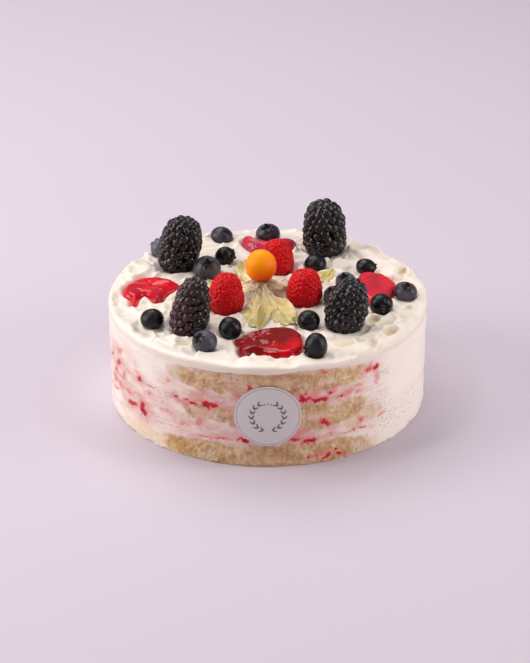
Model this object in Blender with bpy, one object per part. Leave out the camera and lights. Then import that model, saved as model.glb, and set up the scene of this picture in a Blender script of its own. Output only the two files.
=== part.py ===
"""A round berry cream layer cake: three sponges, two berry cream fillings, a thick swirled cream top with fruit and jam.

Blender 4.5, metres, +Z up. The origin is the centre of the cake's flat underside, and -Y is the front,
where the round label sits. Sizes and places below are in millimetres, and MM turns them into metres.
"""

import math

import bmesh
import bpy
import numpy as np
from mathutils import Matrix, Vector
from mathutils.geometry import delaunay_2d_cdt

MM = 0.001

# Driving sizes of the cake
CAKE_RADIUS = 100.0
GAP = 0.3
SIDES = 64

# Layers from the bottom up: name, height, kind
LAYERS = (
    ("sponge_bottom", 15.0, "sponge"),
    ("filling_lower", 12.5, "filling"),
    ("sponge_middle", 12.0, "sponge"),
    ("filling_upper", 11.0, "filling"),
    ("sponge_top", 11.5, "sponge"),
)
SPONGE_INSET = 0.5
SPONGE_CRUMB = 0.8
FILLING_INSET = 0.2
FILLING_LUMP = 0.3
LAYER_TOP = sum(height for _, height, _ in LAYERS)

# Cream top: a rim at this height, and sockets pressed flat at this level where the toppings stand
RIM_HEIGHT = 68.3
SOCKET_HEIGHT = 66.0
TOPPING_BASE = SOCKET_HEIGHT + GAP
RIM_ROUND = 1.3
RIM_SIDES = 96
CREAM_GRID = 6.2
SOCKET_MARGIN = 0.9
SOCKET_SIDES = 14
SOCKET_SHOULDER = 4.5

# Spatula scoops that give the cream its hollows and ridges
SCOOP_SEED = 41
SCOOP_PITCH = 15.5
SCOOP_LONG = 11.5
SCOOP_SHORT = 7.0
SCOOP_RISE = 2.4
SCOOP_LEVEL = 1.5
SCOOP_SOFT = 2.2
CREAM_FLOOR = 64.9
CREAM_PEAK = 71.0
BACK_RISE = 1.2

# How deep the large berries sit below the level they stand at
BERRY_SINK = 2.6

# Drupelets, as shares of their pitch: depth of the valleys between them, and how far their tips are rounded down
DRUPELET_VALLEY = 0.16
DRUPELET_BLUNT = 0.04
SOCKET_LIMIT = 95.5

# Bramble berries: place, height, widest radius, taper to the top, lean of the top along X and Y
BRAMBLE_PITCH = 4.5
BRAMBLES = {
    "bramble_left_back": ((-59.0, 43.0), 36.8, 14.4, 0.10, (5.0, 0.0), 1),
    "bramble_left_front": ((-49.3, -47.0), 36.4, 13.8, 0.34, (5.5, 1.0), 2),
    "bramble_right_back": ((38.0, 68.0), 38.3, 15.6, 0.20, (-1.5, 0.0), 3),
    "bramble_right_front": ((46.0, -43.6), 33.0, 14.0, 0.20, (4.5, 1.0), 4),
}

# Raspberries: place, height, widest radius, taper to the top, lean of the top
RASPBERRY_PITCH = 4.3
RASPBERRIES = {
    "raspberry_left": ((-26.0, -18.6), 25.9, 12.8, 0.28, (0.5, 0.5), 5),
    "raspberry_back": ((6.8, 38.2), 23.8, 12.1, 0.26, (-1.0, 0.0), 6),
    "raspberry_right": ((22.2, -8.4), 24.2, 12.8, 0.26, (1.5, 0.5), 7),
}

# Blueberries: place, radius, height over width, crown's azimuth and elevation in degrees
BLUEBERRY_SINK = 1.3
CUT_SNAP = 0.2
BLUEBERRIES = (
    ((-30.4, 83.0), 7.4, 0.79, 95, -14),
    ((-70.0, 60.3), 6.8, 0.95, 150, 40),
    ((-27.7, 48.6), 6.5, 1.00, 8, 12),
    ((-38.7, 27.5), 8.7, 0.90, 278, 46),
    ((0.5, 83.5), 8.3, 0.83, 262, 60),
    ((-70.5, -44.3), 7.2, 0.92, 60, -12),
    ((-37.6, -75.5), 7.7, 0.93, 235, 42),
    ((-22.7, -57.2), 7.2, 0.98, 60, -12),
    ((24.9, -45.4), 7.1, 0.90, 80, -12),
    ((28.6, -82.8), 6.9, 1.20, 205, -18),
    ((30.9, 39.4), 7.3, 0.78, 100, 35),
    ((63.2, 35.0), 6.5, 0.80, 340, 4),
    ((49.5, 8.6), 6.8, 0.98, 250, 55),
    ((41.6, -12.8), 7.0, 1.00, 240, 50),
    ((70.1, -24.4), 7.2, 0.98, 292, 8),
    ((86.3, -3.2), 7.5, 0.78, 285, 62),
)

# Cape gooseberry, standing on its own opened husk
GOOSEBERRY_CENTRE = (-4.3, 4.6, 85.0)
GOOSEBERRY_RADIUS = 9.8
GOOSEBERRY_TALL = 1.08
HUSK_CENTRE = (-4.2, 1.0)
HUSK_HEIGHT = 7.0
HUSK_HUB = 5.0
HUSK_NOTCH = 9.5
HUSK_THICKNESS = 0.7
HUSK_RUN_OUT = 27.0
HUSK_WAVE = 1.1
# Husk petals: direction in degrees, length, half width in degrees
HUSK_PETALS = (
    (268.0, 51.0, 22.0),
    (291.0, 51.5, 17.0),
    (32.0, 55.0, 21.0),
    (109.0, 46.0, 22.0),
    (156.0, 37.5, 20.0),
)

# Jam pools: outline corners in order, thickness
JAM_WALL = 0.5
JAM_SHOULDER = 5.0
JAM_GRID = 6.0
JAM_CLEAR = 0.4
JAMS = {
    "jam_left": (
        ((-91, 4), (-88, 14), (-81, 21), (-71, 22), (-62, 18), (-55, 10), (-58, 4), (-63, -1), (-65, -8),
         (-67, -11.5), (-71, -12.5), (-73.5, -7), (-77, -3), (-80, -6), (-82, -17), (-85.5, -19), (-86, -9), (-90, -3)),
        4.0,
    ),
    "jam_back": (
        ((-17.5, 77.5), (-13, 81), (-9, 80.5), (-5.5, 76.5), (0, 74.3), (6, 76), (10.5, 78.5), (15.5, 77.5),
         (19, 73.5), (16, 66), (6, 61), (-5, 61), (-12, 66.5)),
        7.8,
    ),
    "jam_right": (
        ((56, 15), (59, 25), (66, 28), (75, 23), (81, 13), (81, 0), (75, -10), (66, -17), (59, -8), (56, 5)),
        5.6,
    ),
    "jam_front": (
        ((-20, -64), (-12, -56), (0, -52), (10, -50), (18, -55), (22, -67), (20, -81), (11, -88),
         (1, -86), (-8, -83), (-15, -87), (-18, -80), (-18, -73)),
        5.0,
    ),
}

# Round paper label on the front of the side
LABEL_RADIUS = 20.0
LABEL_HEIGHT = 35.3
LABEL_THICKNESS = 0.4
LABEL_STANDOFF = 0.5
LABEL_SIDES = 28
LABEL_RINGS = (8.0, 20.0)

# Colour, roughness and metallic value of each material
FINISHES = {
    "sponge": ((0.78, 0.60, 0.38), 0.9, 0.0),
    "filling": ((0.92, 0.76, 0.74), 0.55, 0.0),
    "cream": ((0.93, 0.89, 0.82), 0.45, 0.0),
    "bramble": ((0.02, 0.012, 0.02), 0.25, 0.0),
    "raspberry": ((0.62, 0.02, 0.04), 0.35, 0.0),
    "blueberry": ((0.03, 0.035, 0.06), 0.5, 0.0),
    "gooseberry": ((0.95, 0.42, 0.03), 0.25, 0.0),
    "husk": ((0.72, 0.66, 0.38), 0.7, 0.0),
    "jam": ((0.65, 0.01, 0.03), 0.1, 0.0),
    "label": ((0.70, 0.69, 0.74), 0.4, 0.0),
}


def clear_scene():
    for obj in list(bpy.data.objects):
        bpy.data.objects.remove(obj, do_unlink=True)


def finish_of(kind):
    """The Principled material of one kind of food, made once."""
    material = bpy.data.materials.get(kind)
    if material is None:
        colour, roughness, metallic = FINISHES[kind]
        material = bpy.data.materials.new(kind)
        material.use_nodes = True
        shader = material.node_tree.nodes["Principled BSDF"]
        shader.inputs["Base Color"].default_value = (*colour, 1.0)
        shader.inputs["Roughness"].default_value = roughness
        shader.inputs["Metallic"].default_value = metallic
    return material


def add_object(name, bm, kind, place=(0.0, 0.0, 0.0), smooth_angle=40.0):
    """Turns a bmesh in millimetres into a named object at its place."""
    bmesh.ops.recalc_face_normals(bm, faces=bm.faces)
    bmesh.ops.scale(bm, vec=(MM, MM, MM), verts=bm.verts)
    mesh = bpy.data.meshes.new(name)
    bm.to_mesh(mesh)
    bm.free()
    mesh.materials.append(finish_of(kind))
    mesh.shade_smooth()
    mesh.set_sharp_from_angle(angle=math.radians(smooth_angle))
    obj = bpy.data.objects.new(name, mesh)
    obj.location = Vector(place) * MM
    bpy.context.scene.collection.objects.link(obj)
    return obj


def circle(radius, count, height=0.0, centre=(0.0, 0.0)):
    turns = [2 * math.pi * i / count for i in range(count)]
    return [(centre[0] + radius * math.cos(a), centre[1] + radius * math.sin(a), height) for a in turns]


def bridge(bm, lower, upper):
    """Quads between two rings of vertices with the same count."""
    count = len(lower)
    for i in range(count):
        j = (i + 1) % count
        bm.faces.new((lower[i], lower[j], upper[j], upper[i]))


def smoothstep(value):
    t = np.clip(value, 0.0, 1.0)
    return t * t * (3 - 2 * t)


# Sponge and filling layers

def layer(name, bottom, top, kind, seed):
    """A disc whose side is crumbly sponge or lumpy cream, closed by flat faces above and below."""
    rng = np.random.RandomState(seed)
    inset, lump, rows = {
        "sponge": (SPONGE_INSET, SPONGE_CRUMB, 3),
        "filling": (FILLING_INSET, FILLING_LUMP, 2),
    }[kind]
    bm = bmesh.new()
    rings = []
    for row in range(rows):
        height = bottom + (top - bottom) * row / (rows - 1)
        reach = CAKE_RADIUS - inset - lump * rng.rand(SIDES)
        ring = [
            bm.verts.new((x * r, y * r, height))
            for (x, y, _), r in zip(circle(1.0, SIDES), reach)
        ]
        rings.append(ring)
    for lower, upper in zip(rings, rings[1:]):
        bridge(bm, lower, upper)
    bm.faces.new(rings[0])
    bm.faces.new(rings[-1])
    return add_object(name, bm, kind)


def add_layers():
    bottom = 0.0
    for index, (name, height, kind) in enumerate(LAYERS):
        start = bottom + (GAP if index else 0.0)
        layer(name, start, bottom + height, kind, seed=index + 1)
        bottom += height


# Outlines of what stands on the cream

def smooth_outline(corners, steps=2):
    """A closed Catmull-Rom curve through the corners, with this many points for each of them."""
    points = [Vector(corner) for corner in corners]
    count = len(points)
    curve = []
    for i in range(count):
        a, b, c, d = (points[(i + k) % count] for k in (-1, 0, 1, 2))
        for step in range(steps):
            t = step / steps
            spot = 0.5 * (2 * b + (c - a) * t + (2 * a - 5 * b + 4 * c - d) * t**2 + (3 * b - a - 3 * c + d) * t**3)
            curve.append((spot.x, spot.y))
    return curve


def footprints(berry_share, blueberry_share):
    """Centre of every fruit that stands on the cream, and this share of its radius."""
    found = []
    for table in (BRAMBLES, RASPBERRIES):
        found += [(x, y, berry_share * radius) for (x, y), _, radius, *_ in table.values()]
    found += [(x, y, blueberry_share * radius) for (x, y), radius, *_ in BLUEBERRIES]
    return found


def jam_outline(corners):
    """The pool's edge, pushed round every fruit that stands in it."""
    edge = []
    for x, y in smooth_outline(corners):
        for cx, cy, radius in footprints(1.0, 1.0):
            clear = radius + JAM_CLEAR
            away = Vector((x - cx, y - cy))
            if away.length < clear:
                away = away.normalized() * clear
                x, y = cx + away.x, cy + away.y
        edge.append((x, y))
    return edge


def husk_reach(turn):
    """How far the husk reaches in this direction, in radians: long petals with notches between them."""
    reach = HUSK_NOTCH
    for direction, length, half_width in HUSK_PETALS:
        off = abs((math.degrees(turn) - direction + 180) % 360 - 180) / half_width
        if off < 1:
            reach = max(reach, HUSK_NOTCH + (length - HUSK_NOTCH) * (1 - off**1.4) ** 0.85)
    return reach


def husk_turns():
    """Directions of the husk's spokes: close together over the petals and at the notches."""
    turns = set()
    for direction, _, half_width in HUSK_PETALS:
        for share in (-1.0, -0.66, -0.33, 0.0, 0.33, 0.66, 1.0):
            turns.add(round((direction + share * half_width) % 360, 1))
    turns.update((60.0, 75.0, 90.0, 182.0, 196.0, 212.0, 226.0, 330.0, 345.0))
    turns = sorted(turns)
    spaced = [turn for turn, before in zip(turns, [turns[-1] - 360] + turns[:-1]) if turn - before > 3.0]
    return [math.radians(turn) for turn in spaced]


def husk_outline(margin):
    cx, cy = HUSK_CENTRE
    edge = []
    for turn in husk_turns():
        reach = husk_reach(turn) + margin
        edge.append((cx + reach * math.cos(turn), cy + reach * math.sin(turn)))
    return edge


def grown(outline, margin):
    """The outline moved outwards by the margin."""
    count = len(outline)
    moved = []
    for i in range(count):
        before, here, after = (Vector(outline[(i + k) % count]) for k in (-1, 0, 1))
        along = after - before
        outwards = Vector((along.y, -along.x)).normalized()
        moved.append(tuple(here + outwards * margin))
    area = sum(a[0] * b[1] - b[0] * a[1] for a, b in zip(outline, outline[1:] + outline[:1]))
    if area < 0:
        moved = [tuple(2 * Vector(here) - Vector(there)) for here, there in zip(outline, moved)]
    return moved


def sockets():
    """Closed outlines, as arrays of points, inside which the cream is pressed flat."""
    outlines = [
        [spot[:2] for spot in circle(radius + SOCKET_MARGIN, SOCKET_SIDES, centre=(x, y))]
        for x, y, radius in footprints(0.9, 0.78)
    ]
    outlines += [grown(jam_outline(corners), SOCKET_MARGIN) for corners, _ in JAMS.values()]
    outlines.append(husk_outline(SOCKET_MARGIN))
    return [kept_in(np.array(outline)) for outline in outlines]


def kept_in(outline):
    """The outline with no point nearer to the rim than allowed."""
    reach = np.hypot(*outline.T)
    return outline * np.minimum(1.0, SOCKET_LIMIT / reach)[:, None]


# Cream top

def edge_distance(points, outline):
    """Distance of each point to the outline, zero inside it."""
    starts, ends = outline, np.roll(outline, -1, axis=0)
    along = ends - starts
    rel = points[:, None, :] - starts[None, :, :]
    share = np.clip((rel * along).sum(-1) / (along**2).sum(-1), 0, 1)
    nearest = np.linalg.norm(rel - share[..., None] * along, axis=-1).min(axis=1)
    above = (starts[:, 1] > points[:, 1:2]) != (ends[:, 1] > points[:, 1:2])
    rise = np.where(np.abs(along[:, 1]) < 1e-9, 1e-9, along[:, 1])
    crossing = starts[:, 0] + (points[:, 1:2] - starts[:, 1]) * along[:, 0] / rise
    inside = (above & (points[:, 0:1] < crossing)).sum(axis=1) % 2 == 1
    return np.where(inside, 0.0, nearest)


def scoops():
    """Each scoop's centre, direction, level and size: a loose swirl of spatula dabs over the disc."""
    rng = np.random.RandomState(SCOOP_SEED)
    reach = int(CAKE_RADIUS / SCOOP_PITCH) + 1
    rows = []
    for i in range(-reach, reach + 1):
        for j in range(-reach, reach + 1):
            jitter = rng.uniform(-0.42, 0.42, 2) * SCOOP_PITCH
            x = (i + 0.5 * (j % 2)) * SCOOP_PITCH + jitter[0]
            y = j * SCOOP_PITCH * 0.87 + jitter[1]
            turn = math.atan2(y, x) + math.pi / 2 + rng.uniform(-0.9, 0.9)
            rows.append((x, y, turn, rng.uniform(0, SCOOP_LEVEL), rng.uniform(0.8, 1.25)))
    return np.array(rows)


def liveliness(points):
    """How strongly the cream is worked: calm at the front left, peaky on the right, low along the rim."""
    x, y = points[:, 0], points[:, 1]
    side = 0.85 + 0.4 * smoothstep((x + 30) / 90) - 0.2 * smoothstep((-x - y - 40) / 60)
    rim = 1 - 0.55 * smoothstep((np.hypot(x, y) - 84) / 12) * (1 - 0.6 * smoothstep((x + y - 40) / 50))
    return side * rim


def cream_height(points):
    """Height of the worked cream: hollows left by the spatula, meeting in soft ridges."""
    x, y, turn, level, size = scoops().T
    dx = points[:, 0:1] - x
    dy = points[:, 1:2] - y
    along = (dx * np.cos(turn) + dy * np.sin(turn)) / (SCOOP_LONG * size)
    across = (dy * np.cos(turn) - dx * np.sin(turn)) / (SCOOP_SHORT * size)
    bowls = level + SCOOP_RISE * (along**2 + across**2)
    lowest = -np.log(np.exp(-SCOOP_SOFT * bowls).sum(axis=1) + 1e-12) / SCOOP_SOFT
    live = liveliness(points)
    calm = RIM_HEIGHT - CREAM_FLOOR - 1.2
    height = CREAM_FLOOR + calm * (1 - np.clip(live, 0, 1)) + live * np.clip(lowest, 0, 5.5)
    back = smoothstep((points[:, 1] - 68) / 10) * smoothstep((np.hypot(*points.T) - 80) / 12)
    return np.minimum(height, CREAM_PEAK) + BACK_RISE * back


def pressed_height(points, outlines):
    """The worked cream, pressed flat in the sockets and with a shoulder round each."""
    height = cream_height(points)
    near = np.min([edge_distance(points, outline) for outline in outlines], axis=0)
    return SOCKET_HEIGHT + (height - SOCKET_HEIGHT) * smoothstep(near / SOCKET_SHOULDER)


def grid_points(outlines):
    """A staggered grid over the disc, kept clear of the rim and of the sockets' edges."""
    reach = int(CAKE_RADIUS / CREAM_GRID) + 2
    spots = np.array([
        ((i + 0.5 * (j % 2)) * CREAM_GRID, j * CREAM_GRID * 0.87)
        for i in range(-reach, reach + 1)
        for j in range(-reach, reach + 1)
    ])
    spots = spots[np.hypot(*spots.T) < CAKE_RADIUS - RIM_ROUND - 0.5 * CREAM_GRID]
    near = np.min([edge_distance(spots, outline) for outline in outlines], axis=0)
    return spots[near > 0.4 * CREAM_GRID]


def add_cream():
    """The cream top: a swirled surface with flat sockets, a rounded rim, an upright side and a flat underside."""
    outlines = sockets()
    points = [Vector(spot[:2]) for spot in circle(CAKE_RADIUS - RIM_ROUND, RIM_SIDES)]
    edges = [(i, (i + 1) % RIM_SIDES) for i in range(RIM_SIDES)]
    for outline in outlines:
        first = len(points)
        points += [Vector(spot) for spot in outline]
        edges += [(first + i, first + (i + 1) % len(outline)) for i in range(len(outline))]
    points += [Vector(spot) for spot in grid_points(outlines)]
    flat, _, faces, origins, _, _ = delaunay_2d_cdt(points, edges, [], 0, 1e-4)
    heights = pressed_height(np.array([tuple(spot) for spot in flat]), outlines)
    bm = bmesh.new()
    top = [bm.verts.new((spot.x, spot.y, height)) for spot, height in zip(flat, heights)]
    for face in faces:
        bm.faces.new([top[i] for i in face])
    at_rim = {origin: top[i] for i, found in enumerate(origins) for origin in found if origin < RIM_SIDES}
    rim = [at_rim[i] for i in range(RIM_SIDES)]
    edge = circle(CAKE_RADIUS, RIM_SIDES)
    shoulder = [bm.verts.new((x, y, vert.co.z - RIM_ROUND)) for (x, y, _), vert in zip(edge, rim)]
    foot = [bm.verts.new((x, y, LAYER_TOP + GAP)) for x, y, _ in edge]
    bridge(bm, shoulder, rim)
    bridge(bm, foot, shoulder)
    bm.faces.new(foot)
    return add_object("cream_top", bm, "cream", smooth_angle=60.0)


# Bramble berries and raspberries

def berry_profile(height, radius, taper, share):
    """Radius and height of the berry's outline, for a share from 0 at the base to 1 at the tip."""
    turn = math.pi * (0.14 + 0.86 * share)
    out = math.sin(turn) ** 0.62
    up = 0.5 - 0.5 * math.copysign(abs(math.cos(turn)) ** 0.80, math.cos(turn))
    return radius * out * (1 - taper * up), height * up


def drupelet_centres(height, radius, taper, pitch, seed):
    """Tips of the drupelets, in staggered rows at equal steps along the outline."""
    rng = np.random.RandomState(seed)
    fine = [berry_profile(height, radius, taper, i / 200) for i in range(201)]
    lengths = np.cumsum([0.0] + [math.dist(a, b) for a, b in zip(fine, fine[1:])])
    rows = max(3, round(lengths[-1] / (pitch * 0.88)))
    centres = []
    for row in range(rows):
        at = int(np.searchsorted(lengths, lengths[-1] * (row + 0.35) / (rows - 0.2)))
        out, up = fine[min(at, 200)]
        count = max(1, round(2 * math.pi * out / pitch)) if out > 0.45 * pitch else 1
        for i in range(count):
            turn = 2 * math.pi * (i + 0.5 * (row % 2) + rng.uniform(-0.12, 0.12)) / count
            reach = (out if count > 1 else 0.0) * rng.uniform(0.97, 1.03)
            centres.append(Vector((reach * math.cos(turn), reach * math.sin(turn), up - BERRY_SINK)))
    return centres


def drupelet_berry(name, spot, kind, pitch):
    """A berry whose drupelets are raised facets that meet in valleys."""
    (x, y), height, radius, taper, (lean_x, lean_y), seed = spot
    hull = bmesh.new()
    for centre in drupelet_centres(height, radius - 0.5, taper, pitch, seed):
        hull.verts.new(centre)
    found = bmesh.ops.convex_hull(hull, input=hull.verts)
    bmesh.ops.delete(hull, geom=found["geom_interior"], context="VERTS")
    hull.normal_update()
    bm = bmesh.new()
    valleys = {
        face.index: bm.verts.new(face.calc_center_median() - face.normal * DRUPELET_VALLEY * pitch)
        for face in indexed(hull.faces)
    }
    for tip in hull.verts:
        apex = bm.verts.new(tip.co - tip.normal * DRUPELET_BLUNT * pitch)
        corners = [valleys[index] for index in around(tip)]
        for a, b in zip(corners, corners[1:] + corners[:1]):
            bm.faces.new((apex, a, b))
    hull.free()
    lean = Matrix(((1, 0, lean_x / height), (0, 1, lean_y / height), (0, 0, 1)))
    for vert in bm.verts:
        vert.co = lean @ vert.co
    cut_flat(bm, 0.0)
    return add_object(name, bm, kind, (x, y, TOPPING_BASE), smooth_angle=50.0)


def indexed(faces):
    faces.index_update()
    return faces


def around(tip):
    """The hull faces round a tip, in order."""
    loop = tip.link_loops[0]
    faces = []
    for _ in tip.link_loops:
        faces.append(loop.face.index)
        loop = loop.link_loop_prev.link_loop_radial_next
    return faces


def cut_flat(bm, height):
    """Takes off what lies below the height, and closes the cut with one flat face."""
    for vert in bm.verts:
        if abs(vert.co.z - height) < CUT_SNAP:
            vert.co.z = height
    geometry = list(bm.verts) + list(bm.edges) + list(bm.faces)
    cut = bmesh.ops.bisect_plane(
        bm, geom=geometry, dist=1e-4, plane_co=(0, 0, height), plane_no=(0, 0, 1), clear_inner=True
    )
    rim = [item for item in cut["geom_cut"] if isinstance(item, bmesh.types.BMEdge)]
    bmesh.ops.holes_fill(bm, edges=rim, sides=0)


# Blueberries

def blueberry_outline(radius):
    """Half outline from the crown's pit to the far end: pit, raised lip, then a round body."""
    pit, lip = 0.22 * radius, 0.36 * radius
    outline = [(0.0, 0.84 * radius), (pit, 0.85 * radius), (lip, 1.02 * radius), (1.35 * lip, 0.90 * radius)]
    turns = [math.radians(degrees) for degrees in (52, 82, 112, 145, 180)]
    return outline + [(radius * math.sin(turn), radius * math.cos(turn)) for turn in turns]


def blueberry(name, spot, sides=10):
    """A blueberry turned round its crown's axis, then tipped, and cut flat where it stands in the cream."""
    (x, y), radius, tall, azimuth, elevation = spot
    bm = bmesh.new()
    outline = blueberry_outline(radius)
    rings = [
        [bm.verts.new(point) for point in circle(out, sides, height=up)] for out, up in outline[1:-1]
    ]
    for inner, outer in zip(rings, rings[1:]):
        bridge(bm, outer, inner)
    for (_, up), ring in ((outline[0], rings[0]), (outline[-1], rings[-1])):
        end = bm.verts.new((0.0, 0.0, up))
        for a, b in zip(ring, ring[1:] + ring[:1]):
            bm.faces.new((end, a, b))
    tip = Matrix.Rotation(math.radians(azimuth), 3, "Z") @ Matrix.Rotation(math.radians(90 - elevation), 3, "Y")
    for vert in bm.verts:
        vert.co = tip @ vert.co
        vert.co.z = vert.co.z * tall + radius * tall - BLUEBERRY_SINK
    cut_flat(bm, 0.0)
    return add_object(name, bm, "blueberry", (x, y, TOPPING_BASE))


# Cape gooseberry and its husk

def add_gooseberry():
    """The smooth round fruit, cut flat where it meets the husk."""
    x, y, z = GOOSEBERRY_CENTRE
    bm = bmesh.new()
    bmesh.ops.create_uvsphere(bm, u_segments=16, v_segments=9, radius=GOOSEBERRY_RADIUS)
    bmesh.ops.scale(bm, vec=(1, 1, GOOSEBERRY_TALL), verts=bm.verts)
    seat = TOPPING_BASE + HUSK_HEIGHT + HUSK_THICKNESS + GAP + 0.1
    cut_flat(bm, seat - z)
    return add_object("cape_gooseberry", bm, "gooseberry", (x, y, z))


def husk_height(reach, turn):
    """Underside of the husk: a hub held up by petals that fall to the cream and run out wavy."""
    fall = 1 - smoothstep((reach - HUSK_HUB) / (HUSK_RUN_OUT - HUSK_HUB))
    ripple = 0.5 + 0.5 * math.sin(7 * turn + 0.16 * reach)
    wave = HUSK_WAVE * ripple * float(smoothstep((reach - HUSK_HUB) / 12))
    return TOPPING_BASE + HUSK_HEIGHT * float(fall) + wave


def add_husk():
    """The opened papery husk: one thin wavy sheet, its two faces split alike."""
    shares = (0.0, 0.33, 0.66, 1.0)
    turns = husk_turns()
    cx, cy = HUSK_CENTRE
    bm = bmesh.new()
    sheets = []
    for lift in (0.0, HUSK_THICKNESS):
        rings = []
        for share in shares:
            ring = []
            for turn in turns:
                reach = HUSK_HUB + (husk_reach(turn) - HUSK_HUB) * share
                height = husk_height(reach, turn) + lift
                ring.append(bm.verts.new((cx + reach * math.cos(turn), cy + reach * math.sin(turn), height)))
            rings.append(ring)
        hub = bm.verts.new((cx, cy, husk_height(0.0, 0.0) + lift))
        for a, b in zip(rings[0], rings[0][1:] + rings[0][:1]):
            bm.faces.new((hub, a, b))
        for inner, outer in zip(rings, rings[1:]):
            split_alike(bm, inner, outer)
        sheets.append(rings[-1])
    bridge(bm, *sheets)
    return add_object("gooseberry_husk", bm, "husk")


def split_alike(bm, inner, outer):
    """Triangles between two rings, all split along the same diagonal."""
    count = len(inner)
    for i in range(count):
        j = (i + 1) % count
        bm.faces.new((inner[i], outer[i], outer[j]))
        bm.faces.new((inner[i], outer[j], inner[j]))


# Jam pools

def add_jam(name, corners, thickness):
    """A pool of jam: flat below, with a low wall that rounds over to a full top."""
    edge = np.array(jam_outline(corners))
    low, high = edge.min(axis=0), edge.max(axis=0)
    columns, rows = (int(size / JAM_GRID) + 2 for size in high - low)
    grid = np.array([
        (low[0] + (i + 0.5 * (j % 2)) * JAM_GRID, low[1] + j * JAM_GRID * 0.87)
        for i in range(columns)
        for j in range(rows + 1)
    ])
    outside = edge_distance(grid, edge) > 0
    deep = depth_inside(grid, edge) > 0.35 * JAM_GRID
    inner = grid[~outside & deep]
    points = [Vector(spot) for spot in edge] + [Vector(spot) for spot in inner]
    edges = [(i, (i + 1) % len(edge)) for i in range(len(edge))]
    flat, _, faces, _, _, _ = delaunay_2d_cdt(points, edges, [], 1, 1e-4)
    spots = np.array([tuple(spot) for spot in flat])
    share = np.clip(depth_inside(spots, edge) / JAM_SHOULDER, 0, 1)
    heights = JAM_WALL + (thickness - JAM_WALL) * np.sqrt(1 - (1 - share) ** 2)
    bm = bmesh.new()
    top = [bm.verts.new((spot[0], spot[1], height)) for spot, height in zip(spots, heights)]
    foot = [bm.verts.new((spot[0], spot[1], 0.0)) for spot in spots]
    for face in faces:
        bm.faces.new([top[i] for i in face])
        bm.faces.new([foot[i] for i in reversed(face)])
    border = [e for e in bm.edges if e.is_boundary and e.verts[0] in top[: len(edge)]]
    above = dict(zip(top, foot))
    for e in border:
        a, b = e.verts
        bm.faces.new((a, b, above[b], above[a]))
    dissolve_underside(bm)
    return add_object(name, bm, "jam", (0, 0, TOPPING_BASE), smooth_angle=70.0)


def depth_inside(points, outline):
    """Distance from the outline of each point within it, zero outside."""
    starts, ends = outline, np.roll(outline, -1, axis=0)
    along = ends - starts
    rel = points[:, None, :] - starts[None, :, :]
    share = np.clip((rel * along).sum(-1) / (along**2).sum(-1), 0, 1)
    nearest = np.linalg.norm(rel - share[..., None] * along, axis=-1).min(axis=1)
    return np.where(edge_distance(points, outline) > 0, 0.0, nearest)


def dissolve_underside(bm):
    """Makes the flat underside one face, as it needs no inner edges."""
    under = [face for face in bm.faces if all(abs(vert.co.z) < 1e-6 for vert in face.verts)]
    bmesh.ops.dissolve_faces(bm, faces=under, use_verts=True)


# Label

def add_label():
    """A round paper disc that follows the curve of the cake's side."""
    bm = bmesh.new()
    rims = []
    for reach in (CAKE_RADIUS + LABEL_STANDOFF, CAKE_RADIUS + LABEL_STANDOFF + LABEL_THICKNESS):
        rings = [
            [bm.verts.new(on_side(x, z, reach)) for x, z, _ in circle(radius, LABEL_SIDES)]
            for radius in LABEL_RINGS
        ]
        middle = bm.verts.new(on_side(0.0, 0.0, reach))
        for a, b in zip(rings[0], rings[0][1:] + rings[0][:1]):
            bm.faces.new((middle, a, b))
        split_alike(bm, *rings)
        rims.append(rings[-1])
    bridge(bm, *rims)
    return add_object("label", bm, "label", (0, 0, LABEL_HEIGHT))


def on_side(across, up, reach):
    """A point on the cake's side, this far across and up from the label's middle."""
    turn = across / CAKE_RADIUS
    return (reach * math.sin(turn), -reach * math.cos(turn), up)


def main():
    clear_scene()
    add_layers()
    add_cream()
    for name, spot in BRAMBLES.items():
        drupelet_berry(name, spot, "bramble", BRAMBLE_PITCH)
    for name, spot in RASPBERRIES.items():
        drupelet_berry(name, spot, "raspberry", RASPBERRY_PITCH)
    for number, spot in enumerate(BLUEBERRIES, start=1):
        blueberry(f"blueberry_{number:02d}", spot)
    add_husk()
    add_gooseberry()
    for name, (corners, thickness) in JAMS.items():
        add_jam(name, corners, thickness)
    add_label()


main()
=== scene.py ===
"""The looks of a round berry cream layer cake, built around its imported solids.

Lengths of the cake are millimetres, and MM turns them into metres. Lights and camera are in metres. The front
of the cake is -Y, and an azimuth on its side is counted from there, positive towards +X.
"""

import math

import bmesh
import bpy
import numpy as np
from mathutils import Matrix, Vector
from mathutils.geometry import delaunay_2d_cdt


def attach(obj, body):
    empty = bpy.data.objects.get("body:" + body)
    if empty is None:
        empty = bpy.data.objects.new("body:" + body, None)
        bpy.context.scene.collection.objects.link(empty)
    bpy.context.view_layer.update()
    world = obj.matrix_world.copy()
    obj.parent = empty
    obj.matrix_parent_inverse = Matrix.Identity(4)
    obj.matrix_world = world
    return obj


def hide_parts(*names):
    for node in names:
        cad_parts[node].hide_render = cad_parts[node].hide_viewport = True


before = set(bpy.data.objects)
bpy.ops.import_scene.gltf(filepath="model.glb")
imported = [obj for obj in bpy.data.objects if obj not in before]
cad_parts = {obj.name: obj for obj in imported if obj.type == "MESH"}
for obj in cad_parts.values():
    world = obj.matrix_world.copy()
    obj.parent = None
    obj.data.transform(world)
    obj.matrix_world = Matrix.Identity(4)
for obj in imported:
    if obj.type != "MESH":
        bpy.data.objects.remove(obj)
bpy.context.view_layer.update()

MM = 0.001
BODY = "root"
CAKE_RADIUS = 100.0

# Layers of the cake: node, bottom, top, kind
LAYERS = (
    ("sponge_bottom", 0.0, 15.15, "sponge"),
    ("filling_lower", 15.15, 27.65, "filling"),
    ("sponge_middle", 27.65, 39.65, "sponge"),
    ("filling_upper", 39.65, 50.65, "filling"),
    ("sponge_top", 50.65, 62.6, "sponge"),
)

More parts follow.
